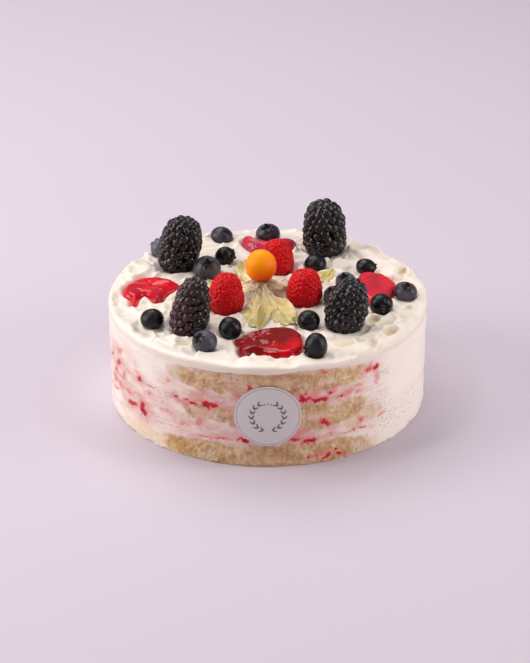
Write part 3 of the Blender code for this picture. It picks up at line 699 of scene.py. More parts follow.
def cream_top(material):
    points, quads, border = disc_grid(CREAM_GRID)
    x, y = (points * RIM_START).T
    verts = [np.stack([x, y, cream_at(x, y)], axis=1)]
    faces = quads.tolist()
    edge = verts[0][border]
    turn = np.arctan2(edge[:, 1], edge[:, 0])
    around = np.stack([np.cos(turn), np.sin(turn)], axis=1)
    on_rim = flat3(*(CAKE_RADIUS * around.T))
    azimuth = np.degrees(np.arctan2(around[:, 0], -around[:, 1]))
    front = lip_front(azimuth)
    reach = 100.15 + 0.45 * front + 0.25 * front * fractal(on_rim, 18, 2, seed=31)
    low = lip_height(azimuth)
    round_part = 1 - smoothstep((50 - np.abs(azimuth)) / 14)
    shoulder = 66.6 - 1.6 * round_part + 0.35 * fractal(on_rim, 22, 2, seed=35)
    previous = border
    rings = [(math.sin(a), 1 - math.cos(a)) for a in np.linspace(0, math.pi / 2, 9)[1:]]
    total = len(verts[0])
    for out, down in rings:
        radius = RIM_START + (reach - RIM_START) * out
        z = edge[:, 2] + (shoulder - edge[:, 2]) * down
        previous = add_ring(verts, faces, previous, around, radius, z, total)
        total += len(turn)
    for share in (0.25, 0.5, 0.75, 0.92, 1.0):
        radius = reach - 0.25 * share**2 + 0.12 * fractal(on_rim + [0, 0, 7 * share], 6, 2, seed=37)
        z = shoulder + (low - shoulder) * share
        previous = add_ring(verts, faces, previous, around, radius, z, total)
        total += len(turn)
    for radius, z in ((99.2, low - 0.15), (97.5, low + 0.5), (90.0, np.full(len(turn), CREAM_UNDERSIDE))):
        previous = add_ring(verts, faces, previous, around, np.full(len(turn), radius), z, total)
        total += len(turn)
    faces.append(tuple(int(i) for i in previous[::-1]))
    verts = np.concatenate(verts)
    x, y, z = verts.T
    # Painted shade in the hollows of the worked cream, on the top only.
    hollow = cream_at(x, y, CREAM_HOLLOW_SHADE) * (np.hypot(x, y) < RIM_START)
    # Painted yellowish shade, in the hollows and strongest in the first five cups.
    yellow_shade = 0.35 * smoothstep((fractal(verts, 11, 2, seed=41) - 0.35) / 0.4) * hollow
    for cx, cy, long, wide, turn in CUPS[:5]:
        yellow_shade = np.maximum(yellow_shade, 0.55 * np.exp(-((x - cx) ** 2 + (y - cy) ** 2) / (0.55 * long * wide)))
    # Where the painted shade goes: the lower part of the lip, outside the top.
    face = smoothstep((67.2 - z) / 2.5) * (np.hypot(x, y) > RIM_START)
    values = {"hollow": hollow, "yellow_shade": yellow_shade, "face": face}
    return new_piece("cream_swirls", verts, faces, material, ["cream_top"], values)


def add_ring(verts, faces, previous, around, radius, z, start):
    """One more ring of points outside or below the last, joined to it by quads."""
    verts.append(np.stack([around[:, 0] * radius, around[:, 1] * radius, z], axis=1))
    here = np.arange(start, start + len(radius))
    faces.extend(grid_quads(wrapped(np.stack([previous, here]))).tolist())
    return here


# Side of the cake

SIDE_COUNT = 1100
SIDE_ROW = 0.62

# Places on the side where sponge shows: azimuth, height, half length, half height, strength
WINDOWS = (
    (0, 56.5, 65, 8.0, 1.0), (-19, 33.5, 20, 5.5, 0.85), (13, 33.0, 40, 9.0, 1.0), (33, 27, 15, 8.5, 0.55),
    (-3, 7.0, 66, 8.6, 1.25), (-50, 5, 22, 5.0, 0.3), (28, 6, 26, 7.0, 0.6),
    (170, 56.5, 80, 7.0, 0.9), (-150, 34, 45, 6.5, 0.85), (140, 33, 32, 6.0, 0.65), (178, 7.5, 90, 8.0, 1.0),
    (-112, 6, 28, 6.0, 0.5), (108, 57, 28, 6.0, 0.5), (110, 8, 22, 5.0, 0.45),
)
# Jam on the side: azimuth, height, half length, half height, slope, strength
JAM_SPOTS = (
    (-29, 39.4, 2.6, 0.8, -0.05, 0.8), (-20.8, 39.6, 4.6, 2.2, -0.1, 1.15), (-24, 41.5, 1.3, 1, 0, 0.7),
    (-14, 37.5, 4, 0.6, 0.2, 0.45), (-6.3, 54.5, 1.3, 1.6, -0.5, 0.95), (-51.3, 40.3, 2.1, 1.8, 0, 1.1),
    (-53.2, 42.8, 0.6, 2.6, -1, 0.5), (-67.8, 39.4, 4.6, 2.2, 0.3, 0.9), (-75.8, 39, 4.5, 1.6, 0.5, 0.65),
    (-66, 49, 5, 2.4, 0.5, 0.42), (-72, 25, 8, 3.2, 0.2, 0.42), (-66, 25.5, 4, 2.2, 0.1, 0.4),
    (-52, 29, 9, 1.4, 0.05, 0.35), (-58.5, 27, 5, 2.4, 0, 0.36), (-61, 29.5, 2.5, 1.5, 0, 0.35),
    (-56.6, 19.8, 5.2, 1.9, 0.12, 1.1), (-49.6, 20, 3.7, 2.6, 0, 1.2), (-49.6, 23.8, 2, 2.2, 0, 1),
    (-71, 18.6, 5, 0.8, 0.25, 0.6), (-78, 17, 3, 0.6, 0.3, 0.4), (-24, 27, 3.5, 2.2, 0, 0.38),
    (-23.3, 48, 1.8, 1.1, -0.3, 0.55), (-37, 49, 3, 2, 0, 0.3), (-10, 48, 2.5, 3, 0, 0.35),
    (-12, 28.5, 3, 1.2, 0, 0.35), (-22, 17.3, 4.5, 0.7, 0.1, 0.55), (-16, 18.2, 5, 0.8, 0.05, 0.65),
    (-8.3, 18.9, 3.6, 1.2, -0.15, 1.05), (-5, 18.4, 3, 0.8, -0.1, 0.85), (-83, 31, 5, 2.5, 0.2, 0.55),
    (9, 51.8, 1, 1.2, -0.3, 0.9), (11.8, 46.2, 3, 1.7, -0.4, 1), (17, 43.8, 6.5, 2, 0, 0.92),
    (14, 45, 3, 2.4, 0, 0.8), (22, 47.5, 2.6, 1.6, 0, 0.7), (28, 45, 6, 2.4, 0.1, 0.42),
    (33, 43.6, 5, 1.4, 0.1, 0.4), (39, 42, 10, 0.5, 0.05, 0.3), (40.3, 56, 2.6, 1.8, 0.2, 0.9),
    (37, 56.5, 4, 2.2, 0.15, 0.55), (40.5, 49.5, 2.6, 5, -0.15, 0.38), (38, 60, 3, 1.5, 0, 0.3),
    (19.2, 61.6, 3.4, 1, 0.1, 0.62), (3.8, 61.5, 1.8, 0.9, 0, 0.45), (20, 27.4, 3.2, 1.8, -0.5, 0.92),
    (19, 29.4, 1.6, 1.4, 0, 0.65), (21.3, 25.6, 2.2, 1, 0, 0.7), (12, 23.5, 3.5, 2.5, 0.3, 0.4),
    (34.5, 23.8, 2.6, 1.6, 0, 0.5), (34.6, 17.9, 3.2, 0.8, -0.2, 0.65), (31.2, 18.2, 1.1, 0.9, 0, 0.75),
    (10, 18.8, 6, 1.6, -0.1, 0.65), (14.6, 16.4, 4.6, 1.4, 0.05, 1.2), (22, 19.6, 5.5, 1.5, 0, 0.42),
    (28.5, 17.8, 5, 0.9, 0, 0.4), (25, 18, 6, 0.6, 0, 0.35), (17, 6.2, 4.2, 2.4, 0, 0.52),
    (21.6, 5.2, 3.2, 2.2, 0, 0.66), (25.4, 4.6, 1.9, 1.1, 0, 1), (5.5, 3, 3.5, 2, 0, 0.25),
    (28, 3, 3, 1.5, 0, 0.3), (63, 1.8, 6, 1.4, -0.3, 0.25), (82, 22, 4, 2, 0, 0.6),
    (16, 48.5, 3.5, 2.6, 0.2, 0.45), (24, 51, 4, 1.6, 0.1, 0.4), (33, 48, 4.5, 1.2, -0.1, 0.38),
    (-31, 37.5, 5, 1.2, -0.1, 0.5), (-33.5, 39.6, 1.6, 0.9, 0, 0.95), (-26.5, 38.4, 2.4, 1, -0.1, 1.05),
    (-18, 41.5, 3, 1.4, 0.1, 0.4), (13, 48.8, 1, 1, 0, 0.85), (25.5, 43.4, 2.6, 0.8, 0.1, 0.85),
    (9.5, 25.5, 1.4, 1, 0, 0.7), (24.6, 7.8, 1.2, 0.9, 0, 0.9), (19.5, 3.2, 2, 1, 0.2, 0.8),
    (14.5, 5.2, 1.6, 1.8, 0, 0.6), (-47, 34, 5, 2, 0.1, 0.36), (-38, 27, 6, 2.4, 0.1, 0.34),
    (-30, 23, 4, 1.6, 0, 0.36), (-62, 35, 2, 2.6, 0.4, 0.5), (-70, 33, 2.4, 3, 0.4, 0.6),
    (44, 22, 4, 1.4, 0.1, 0.36),
)
# Fields of small pits, darkened with painted shade: azimuth, height, half length, half height
PIT_FIELDS = (
    (-38, 39.5, 19, 2), (-61, 42, 7, 4.5), (44, 48, 9, 5.5), (49, 17, 22, 9), (45, 25, 10, 5),
    (60, 20, 12, 8), (-43, 18, 9, 6), (-40, 34, 14, 3.5), (-60, 33, 8, 4), (42, 36, 10, 6),
    (30, 50, 7, 4), (-15, 44, 8, 2.5), (130, 40, 30, 5), (-130, 36, 30, 6), (180, 20, 30, 4),
)
# Golden crumb: azimuth, height, half length, half height, strength
GOLDEN = (
    (-36, 5, 20, 5, 0.6), (-50, 6, 20, 5, 1.1), (-19, 56, 5, 3, 0.7), (76, 38, 8, 8, 0.3), (51, 6, 6, 2, 0.4),
    (29, 54, 9, 5, 0.4), (-26, 10, 14, 3, 0.4), (20, 33, 14, 5, 0.3), (180, 6, 60, 6, 0.5),
)


def back_jam():
    """Jam for the sides that the picture doesn't show, scattered along the seams of the layers."""
    rng = np.random.RandomState(67)
    found = []
    for _ in range(46):
        level = rng.choice([17.8, 40.0, 40.0, 27.0, 52.0])
        azimuth = rng.uniform(92, 268)
        height = level + rng.normal(0, 1.6)
        run, tall = rng.uniform(1.5, 6.5), rng.uniform(0.7, 2.2)
        slope, strength = rng.uniform(-0.2, 0.2), rng.choice([0.35, 0.45, 0.7, 1.05])
        found.append((azimuth, height, run, tall, slope, strength))
    return tuple(found)


def arc(azimuth, centre):
    """Distance along the side, in millimetres, of an azimuth from a centre azimuth."""
    return np.radians((azimuth - centre + 180) % 360 - 180) * CAKE_RADIUS


def side_masks(points, azimuth, z):
    """Where the side shows sponge, jam, pinkish cream with painted shade, gold or pits, from 0 to 1, and its
    radius.
    """
    n_large = fractal(points, 14, 2, seed=51)
    n_mid = fractal(points, 5.0, 3, seed=53)
    n_small = fractal(points, 2.0, 2, seed=55)
    crumb = fractal(points, 1.7, 3, seed=57)
    patch = fractal(points * (1, 1, 1.8), 7.0, 3, seed=65)
    around = points * (1, 1, 4.5)
    streak = fractal(around, 13, 3, seed=59)
    bare, jam, haze, pits, golden = np.zeros((5, len(z)))
    for centre, height, half_run, half_height, strength in WINDOWS:
        du = arc(azimuth, centre) + 6 * n_large + 5 * n_mid
        dz = z - height + 1.2 * n_large + 1.7 * n_mid + 0.5 * n_small
        q = np.abs(du / half_run) ** 3 + np.abs(dz / half_height) ** 3
        bare = np.maximum(bare, strength * smoothstep((1.5 - q) / 1.3))
    veil = smoothstep((streak - 0.05) / 0.5) * 0.6 + smoothstep((patch - 0.1) / 0.4) * 0.55
    veil = veil * (0.75 - 0.45 * smoothstep((16 - z) / 6))
    bare = np.clip(bare * (1.08 - veil) + 0.16 * n_small * bare, 0, 1)
    for centre, height, half_run, half_height, slope, strength in JAM_SPOTS + back_jam():
        du = arc(azimuth, centre)
        near = np.abs(du) < 4 * half_run
        run = du[near] + 0.5 * half_run * n_mid[near] + 0.5 * n_small[near]
        rise = z[near] - height - slope * run + (0.5 * half_height + 0.4) * n_small[near] + 0.5 * crumb[near]
        q = (run / half_run) ** 2 + (rise / half_height) ** 2
        grain = 1 + 0.28 * n_small[near] + 0.2 * crumb[near]
        jam[near] = np.maximum(jam[near], strength * np.exp(-0.75 * q**1.25) * grain)
        haze[near] = np.maximum(haze[near], 0.85 * strength * np.exp(-0.13 * q) * (1 + 0.7 * n_mid[near]))
    for level in (17.9, 39.9):
        line = bell(z - level - 1.3 * n_large - 0.5 * n_mid, 0.55)
        line = line * (1 - 0.7 * smoothstep((azimuth - 32) / 12) * smoothstep((95 - azimuth) / 10))
        broken = smoothstep((streak + 0.25) / 0.7) * smoothstep(n_mid + 0.6)
        jam = np.maximum(jam, line * (0.14 + 0.42 * broken))
    middle = bell(z - 30, 17)
    left = bell(arc(azimuth, -66), 32)
    front = bell(arc(azimuth, 0), 72)
    behind = smoothstep((np.abs(azimuth) - 90) / 30)
    # Pinkish cream, partly real and partly painted shade: more of it towards the front, which is darker as
    # painted shade.
    pink_and_shade = 0.05 + 0.62 * front + (0.40 * left + 0.30 * behind) * middle
    pink_and_shade = pink_and_shade + 0.30 * streak * (0.4 + front + left + 0.6 * behind) + 0.25 * n_large * (front + left)
    pink_and_shade = pink_and_shade * (1 - 0.85 * smoothstep((z - 50) / 9) * (1 - front)) + haze + 0.2 * n_small * front
    # Less pinkish cream round azimuth 56, which brightens the low right side as painted light.
    pink_and_shade = pink_and_shade * (1 - 0.9 * bell(arc(azimuth, 56), 38))
    for centre, height, half_run, half_height in PIT_FIELDS:
        q = (arc(azimuth, centre) / half_run) ** 2 + ((z - height) / half_height) ** 2
        pits = np.maximum(pits, smoothstep((1.4 - q) / 1.0))
    for centre, height, half_run, half_height, strength in GOLDEN:
        q = (arc(azimuth, centre) / half_run) ** 2 + ((z - height) / half_height) ** 2
        golden = np.maximum(golden, strength * np.exp(-q) * (1 + 0.5 * n_mid))
    radius = 100.05 + 0.12 * n_large + 0.05 * n_mid
    radius = radius - bare * (0.45 + 0.42 * crumb + 0.25 * n_small) + 0.12 * np.clip(jam, 0, 1)
    radius = radius + (0.8 * n_small + 0.5 * crumb) * smoothstep((3.2 - z) / 3.2)
    radius = np.minimum(radius, 100.4)
    return {
        "cream": 1 - bare,
        "jam": np.clip(jam, 0, 1.2),
        "pink_and_shade": np.clip(pink_and_shade, 0, 1),
        "pits": pits * (1 - bare),
        "golden": np.clip(golden, 0, 1),
    }, radius


def side_layer(node, bottom, top, kind, material):
    """One layer of the cake: a closed disc whose side has the crumb, cream and jam that show."""
    rows = max(4, round((top - bottom) / SIDE_ROW))
    turns = np.linspace(-math.pi, math.pi, SIDE_COUNT, endpoint=False)
    z = np.repeat(np.linspace(bottom, top, rows + 1), SIDE_COUNT)
    turn = np.tile(turns, rows + 1)
    if node == "sponge_top":
        rise = np.maximum(lip_height(np.degrees(turn)) - 0.3 - top, 0)
        z = z + rise * (z - bottom) / (top - bottom)
    points = round_side(turn, CAKE_RADIUS, z)
    masks, radius = side_masks(points, np.degrees(turn), z)
    verts = round_side(turn, radius, z)
    foot = smoothstep((1.4 - z) / 1.4) * 0.7
    verts[:, :2] *= (1 - foot / 100)[:, None]
    if node == "sponge_top":
        for radius, level in ((98.1, z[-SIDE_COUNT:]), (97.8, top)):
            verts = np.concatenate([verts, round_side(turns, radius, level)])
            masks = {name: np.concatenate([mask, mask[-SIDE_COUNT:]]) for name, mask in masks.items()}
    index = np.arange(len(verts)).reshape(-1, SIDE_COUNT)
    faces = [*tube_quads(index).tolist(), index[0][::-1].tolist(), index[-1].tolist()]
    name = f"{node}_crumb" if kind == "sponge" else f"{node}_smear"
    return new_piece(name, verts, faces, material, [node], masks, sharp=70)


# Bramble berries and raspberries

GOLDEN_ANGLE = 2.39996

def berry_profile(height, radius, taper, share):
    """Distance from the axis and height at a share of the way from the foot to the top."""
    turn = math.pi * (0.14 + 0.86 * share)
    up = 0.5 - 0.5 * np.copysign(np.abs(np.cos(turn)) ** 0.80, np.cos(turn))
    return radius * np.sin(turn) ** 0.62 * (1 - taper * up), height * up


def drupelets(height, radius, taper, pitch, seed):
    """Tips and outward directions of the drupelets, spread evenly but without rows."""
    rng = np.random.RandomState(seed)
    outline = np.stack(berry_profile(height, radius, taper, np.arange(301) / 300), axis=1)
    steps = np.hypot(*np.diff(outline, axis=0).T)
    length = np.concatenate([[0.0], np.cumsum(steps)])
    area = np.concatenate([[0.0], np.cumsum(math.tau * 0.5 * (outline[1:, 0] + outline[:-1, 0]) * steps)])
    count = round(area[-1] / (0.87 * pitch**2))
    along = np.interp((np.arange(count) + 0.5) / count * area[-1], area, length)
    along = np.clip(along + rng.normal(0, 0.2 * pitch, count), 0.35 * pitch, length[-1])
    turn = np.arange(count) * GOLDEN_ANGLE + rng.normal(0, 0.4, count)
    slope = np.gradient(outline, length, axis=0)
    for _ in range(14):
        out, tips, tangent, sideways = on_outline(along, turn, outline, length, slope)
        apart = tips[:, None, :] - tips[None, :, :]
        gap = np.linalg.norm(apart, axis=2) + np.eye(count) * 1e3
        push = (np.clip(1.12 * pitch - gap, 0, None) / gap)[:, :, None] * apart
        push = push.sum(axis=1) * 0.3
        along = np.clip(along + np.einsum("ij,ij->i", push, tangent), 0.35 * pitch, length[-1])
        turn = turn + np.einsum("ij,ij->i", push, sideways) / np.maximum(out, 1.0)
    _, tips, tangent, sideways = on_outline(along, turn, outline, length, slope)
    return tips, np.cross(sideways, tangent)


def on_outline(along, turn, outline, length, slope):
    """Distance from the axis, points and their two tangents on the turned outline."""
    out, up = np.interp(along, length, outline[:, 0]), np.interp(along, length, outline[:, 1])
    d_out, d_up = np.interp(along, length, slope[:, 0]), np.interp(along, length, slope[:, 1])
    size = np.hypot(d_out, d_up)
    d_out, d_up = d_out / size, d_up / size
    tips = np.stack([out * np.cos(turn), out * np.sin(turn), up], axis=1)
    tangent = np.stack([d_out * np.cos(turn), d_out * np.sin(turn), d_up], axis=1)
    sideways = np.stack([-np.sin(turn), np.cos(turn), np.zeros(len(turn))], axis=1)
    return out, tips, tangent, sideways


def drupelet_berry(name, spec, kind, material, ball):
    """A berry of round drupelets packed over a core."""
    (x, y), height, radius, taper, lean, seed, pitch, tint = spec
    rng = np.random.RandomState(seed + 100)
    soft = kind == "raspberry"
    tips, normals = drupelets(height, radius - 0.1, taper, pitch, seed)
    unit, unit_faces = ball[0], np.array(ball[1])
    verts, faces, tone, depth, dull = [], [], [], [], []
    for tip, normal in zip(tips, normals):
        low = 1 - smoothstep((tip[2] / height - 0.2) / 0.4)
        size = (0.82 + 0.34 * low if soft else 0.61) * pitch * rng.uniform(0.82, 1.2)
        wide = rng.uniform(0.94, 1.06)
        tilted = Vector(normal + rng.normal(0, 0.28, 3))
        turned = np.array(tilted.to_track_quat("Z", "Y").to_matrix())
        shape = unit * (size * wide, size / wide, size * (1.0 if soft else 1.12))
        shape = shape * (1 + (0.04 if soft else 0.11) * value_noise(unit + 9.1 * tip, 0.9, seed))[:, None]
        centre = tip - normal * size * ((0.96 if soft else 0.92) + rng.uniform(-0.12, 0.12))
        faces.append(unit_faces + len(verts) * len(unit))
        verts.append(shape @ turned.T + centre)
        unripe = tint * smoothstep(0.45 - 0.055 * tip[0] - 0.02 * tip[1] - 0.012 * (tip[2] - 12))
        tone.append(np.full(len(unit), np.clip(unripe + 0.3 * tint * rng.uniform(-1, 1), 0, 1)))
        # How far down each drupelet faces into the gaps, for painted shade there.
        depth.append(smoothstep((unit[:, 2] + 0.05) / 0.75))
        dull.append(np.full(len(unit), rng.rand() ** 1.5))
    core, core_faces = core_of(height, radius - 0.60 * pitch, taper)
    faces.append(core_faces + len(verts) * len(unit))
    verts = np.concatenate(verts + [core])
    faces = [row for block in faces for row in block.tolist()]
    # Height share of each point, which the raspberries use for painted shade below and painted highlights on
    # top.
    high = np.clip(verts[:, 2] / height, 0, 1)
    verts[:, 0] += verts[:, 2] * lean[0] / height + x
    verts[:, 1] += verts[:, 2] * lean[1] / height + y
    verts[:, 2] += GROUND - BERRY_SINK
    plain = np.zeros(len(core))
    values = {
        "tone": np.concatenate(tone + [plain]), "depth": np.concatenate(depth + [plain]), "high": high,
        "dull": np.concatenate(dull + [plain + 1]),
    }
    return new_piece(f"{name}_drupelets", verts, faces, material, [name], values)


def core_of(height, radius, taper, sides=20, rows=14):
    """The body under the drupelets: a closed turned form of triangles."""
    out, up = berry_profile(height - 2.0, radius, taper, np.arange(1, rows)[:, None] / rows)
    turns = np.linspace(0, math.tau, sides, endpoint=False)
    rings = np.stack(np.broadcast_arrays(out * np.cos(turns), out * np.sin(turns), up + 0.8), axis=-1)
    verts = np.concatenate([[(0.0, 0.0, 1.5)], rings.reshape(-1, 3), [(0.0, 0.0, height - 1.6)]])
    index = 1 + np.arange((rows - 1) * sides).reshape(-1, sides)
    quads = tube_quads(index)
    bottom, top = fan(0, index[0])[:, ::-1], fan(len(verts) - 1, index[-1])
    return verts, np.concatenate([bottom, top, quads[:, [0, 1, 2]], quads[:, [0, 2, 3]]])


# Blueberries

def blueberry(number, spec, material, sides=40, rows=22):
    """A slightly uneven blueberry with a five-lobed crown round a pit."""
    (x, y), radius, tall, azimuth, elevation = spec
    rng = np.random.RandomState(number + 300)
    pit, lip = 0.27 * radius, 0.41 * radius
    outline = [(0.10 * pit, 0.80, 0.0, 1.0), (0.7 * pit, 0.80, 0.0, 1.0), (pit, 0.84, 0.2, 1.0),
               (1.18 * pit, 0.93, 0.6, 1.0), (0.95 * lip, 1.03, 1.0, 0.9), (1.06 * lip, 1.01, 1.0, 0.5),
               (1.12 * lip, 0.945, 0.5, 0.15)]
    start = math.asin(1.25 * lip / radius)
    for angle in np.linspace(start, math.pi, rows, endpoint=False):
        outline.append((radius * math.sin(angle), math.cos(angle), 0.0, 0.0))
    turns = np.linspace(0, math.tau, sides, endpoint=False)
    star = np.cos(5 * turns + rng.uniform(0, 6))
    out, up, lobes, dark = np.array(outline).T[:, :, None]
    spread = out * (1 + 0.26 * lobes * star)
    high = up * radius + 0.035 * radius * lobes * star
    rings = np.stack([spread * np.cos(turns), spread * np.sin(turns), high], axis=-1).reshape(-1, 3)
    verts = np.concatenate([[(0.0, 0.0, 0.79 * radius)], rings, [(0.0, 0.0, -radius)]])
    crown = np.concatenate([[1.0], np.repeat(dark, sides), [0.0]])
    swell = 1 + 0.05 * value_noise(verts + number * 31.7, 0.9 * radius, seed=71) * (1 - crown)
    verts = verts * swell[:, None]
    index = 1 + np.arange(len(outline) * sides).reshape(-1, sides)
    caps = np.concatenate([fan(0, index[0]), fan(len(verts) - 1, index[-1])[:, ::-1]])
    faces = caps.tolist() + grid_quads(wrapped(index)).tolist()
    lean = Matrix.Rotation(math.radians(90 - elevation), 3, "Y")
    verts = verts @ np.array(Matrix.Rotation(math.radians(azimuth), 3, "Z") @ lean).T
    verts[:, 2] = verts[:, 2] * tall + radius * tall - BLUEBERRY_SINK + GROUND
    verts[:, :2] += (x, y)
    node = f"blueberry_{number:02d}"
    values = {"crown": crown, "tone": np.full(len(verts), BLOOM[number - 1])}
    return new_piece(f"{node}_skin", verts, faces, material, [node], values)


# Cape gooseberry and husk

def gooseberry(material):
    """The smooth fruit: a slightly uneven ball, a little taller than wide, with a small flat foot."""
    verts, faces = unit_ball(bmesh.ops.create_uvsphere, False, u_segments=72, v_segments=44)
    # How far each point faces up, left and front, for the painted light and shade of the fruit.
    up = 0.5 + 0.5 * (0.8 * verts[:, 2] - 0.35 * verts[:, 0] - 0.1 * verts[:, 1])
    swell = 1 + 0.012 * value_noise(verts * 10, 9.0, seed=81)
    verts = verts * swell[:, None] * (GOOSEBERRY_RADIUS, GOOSEBERRY_RADIUS, GOOSEBERRY_RADIUS * 1.08)
    verts[:, 2] = np.maximum(verts[:, 2], -GOOSEBERRY_RADIUS * 1.06)
    verts += GOOSEBERRY_CENTRE
    node = "cape_gooseberry"
    return new_piece(f"{node}_skin", verts, faces, material, [node], {"up": up})


def husk_fall(reach):
    """Height of the husk over the ground: it falls from the hub to the cream."""
    return HUSK_HIGH * (1 - smoothstep((reach - 4.0) / 21.0))


def petal(number, rows=60, columns=56):
    """One papery petal: it falls from the hub, tents along its fold and curls at its margins."""
    direction, length, half_width = HUSK_PETALS[number]
    fold_at, fold_high, curl_side, curl_high, dry = PETAL_LOOKS[number]
    rng = np.random.RandomState(200 + number)
    u = np.linspace(0, 1, rows)[:, None] + np.zeros((1, columns))
    v = np.linspace(-1, 1, columns)[None, :] + np.zeros((rows, 1))
    reach = 2.0 + (length - 2.0) * u
    out = np.clip((reach - HUSK_NOTCH) / (length - HUSK_NOTCH), 0, 1)
    off = (1 - out ** (2.6 if number == 1 else 1.6)) ** 0.9
    half = math.radians(half_width) * (0.015 + 1.03 * off) * (1 + 0.03 * np.sin(13 * u + rng.uniform(0, 6)))
    turn = math.radians(direction) + v * half + 0.04 * np.sin(4 * u + rng.uniform(0, 6))
    x = HUSK_CENTRE[0] + reach * np.cos(turn)
    y = HUSK_CENTRE[1] + reach * np.sin(turn)
    ground = cream_at(x, y)
    body = np.sin(math.pi * np.clip(u, 0, 1)) ** 0.8
    fold = fold_high * np.exp(-np.abs(v - fold_at - 0.15 * np.sin(4 * u)) / 0.36) * body
    margin = smoothstep((curl_side * v - 0.45) / 0.5)
    curl = curl_high * margin * bell(u - 0.55, 0.2) + 1.2 * smoothstep((u - 0.88) / 0.12)
    pleats = 0.45 * np.sin(8.5 * v + 3 * np.sin(3 * u) + rng.uniform(0, 6)) * (0.35 + body)
    crumple = 0.7 * field(x, y, 5.0, 3, 91, number * 9.0) * (0.3 + body)
    flat_part = np.maximum(ground, 66.4) + 0.4 + fold + curl + pleats + crumple
    share = husk_fall(reach) / HUSK_HIGH
    z = flat_part + (GROUND + HUSK_HIGH + 0.5 * pleats - flat_part) * share
    z = np.maximum(z, ground + 0.18)
    veins = vein_pattern(u, v)
    # Painted shade along the fold, and over the outer part of the front petal beyond its fold.
    crease_shade = bell(v - fold_at - 0.15 * np.sin(4 * u), 0.07) * smoothstep((u - 0.4) / 0.3)
    if number == 0:
        crease_shade = np.maximum(crease_shade, 0.75 * smoothstep((v - fold_at) / 0.25) * smoothstep((u - 0.55) / 0.3))
    return x, y, z, u, veins, dry * (1 - smoothstep((u - 0.35) / 0.25)), stripes(turn), crease_shade


def stripes(turn):
    """Fine light and dark lines that run out from the hub, from 0 to 1."""
    return 0.5 + 0.6 * field(14 * np.cos(turn), 14 * np.sin(turn), 0.55, 2, 93)


def vein_pattern(u, v):
    """Long ribs with a net of finer veins between them."""
    ribs = np.zeros(u.shape)
    for at in (-0.62, -0.25, 0.0, 0.3, 0.66):
        ribs = np.maximum(ribs, bell(v - at * (1 - 0.3 * u**2), 0.05))
    net = 0.5 * bell(np.sin(16 * u + 9 * np.abs(v)), 0.28)
    return np.clip(np.maximum(ribs, net * smoothstep((u - 0.15) / 0.2)), 0, 1)


def calyx():
    """The ragged dry skirt round the hub, under the fruit."""
    rows, columns = 18, 220
    u = np.linspace(0, 1, rows)[:, None] + np.zeros((1, columns))
    turn = np.linspace(0, math.tau, columns, endpoint=False)[None, :] + np.zeros((rows, 1))
    lobes = 0.5 + 0.5 * np.cos(5 * turn + 0.6)
    ragged = value_noise(flat3(40 * np.cos(turn[0]), 40 * np.sin(turn[0])), 4.0, seed=95)
    length = 9.0 + 4.5 * lobes[0] + 1.6 * ragged
    reach = 1.2 + (length[None, :] - 1.2) * u
    x = HUSK_CENTRE[0] + reach * np.cos(turn)
    y = HUSK_CENTRE[1] + reach * np.sin(turn)
    z = GROUND + husk_fall(reach) + 0.9 + 0.35 * np.sin(22 * turn) * u + 0.5 * u * ragged[None, :]
    return x, y, z, u * 0.3, np.zeros(u.shape), 0.15 + 0 * u, stripes(turn), np.zeros(u.shape)


def sheet(parts, total, closed):
    """A thin closed sheet from grids of points, with its values for both faces."""
    x, y, z, *values = parts
    rows, columns = x.shape
    top = np.stack([x.ravel(), y.ravel(), z.ravel() + 0.15], axis=1)
    under = top - (0, 0, 0.3)
    index = np.arange(rows * columns).reshape(rows, columns)
    index = wrapped(index) if closed else index
    quads = grid_quads(index)
    below = rows * columns
    faces = (quads + total).tolist() + (quads[:, ::-1] + total + below).tolist()
    if closed:
        borders = [index[0, ::-1], index[-1]]
    else:
        borders = [np.append(grid_border(index), index[0, 0])]
    for border in borders:
        a, b = border[:-1] + total, border[1:] + total
        faces += np.stack([a, a + below, b + below, b], axis=1).tolist()
    return [top, under], faces, [np.tile(v.ravel(), 2) for v in values]


def husk(material):
    """The petals, the dry skirt and its strands, as one piece."""
    verts, faces, total = [], [], 0
    columns = [[], [], [], [], []]
    for parts, closed in [(petal(n), False) for n in range(len(HUSK_PETALS))] + [(calyx(), True)]:
        points, quads, values = sheet(parts, total, closed)
        verts += points
        faces += quads
        total += sum(len(p) for p in points)
        for column, value in zip(columns, values):
            column.append(value)
    rng = np.random.RandomState(230)
    for _ in range(60):
        strand, strand_faces = fibre(rng)
        faces += (strand_faces + total).tolist()
        verts.append(strand)
        total += len(strand)
        for column, value in zip(columns, (0.1, 0.0, 0.2, rng.uniform(0, 1), 0.0)):
            column.append(np.full(len(strand), value))
    names = ("along", "vein", "dry", "stripe", "crease_shade")
    return new_piece(
        "gooseberry_husk_petals", np.concatenate(verts), faces, material, ["gooseberry_husk"],
        {name: np.concatenate(column) for name, column in zip(names, columns)},
    )


def fibre(rng, steps=7):
    """A thin dry strand that runs from under the fruit down the petals."""
    turn, length, start = rng.uniform(0, math.tau), rng.uniform(5.0, 13.0), rng.uniform(2.0, 5.0)
    t = np.arange(steps) / (steps - 1)
    reach = start + length * t
    bend = turn + 0.25 * t * rng.uniform(-1, 1, steps)
    x, y = HUSK_CENTRE[0] + reach * np.cos(bend), HUSK_CENTRE[1] + reach * np.sin(bend)
    z = GROUND + 1.5 + husk_fall(reach) + 0.4 * np.sin(5 * t)
    size = 0.32 * (1 - 0.8 * t) + 0.05
    centre = np.stack([x, y, z], axis=1)
    across = np.stack([-size * np.sin(bend), size * np.cos(bend), 0 * size], axis=1)
    up = np.stack([0 * size, 0 * size, size], axis=1)
    verts = np.stack([centre + across, centre + up, centre - across, centre - up], axis=1).reshape(-1, 3)
    index = np.arange(4 * steps).reshape(steps, 4)
    return verts, np.concatenate([tube_quads(index), index[:1, ::-1], index[-1:]])


# Jam

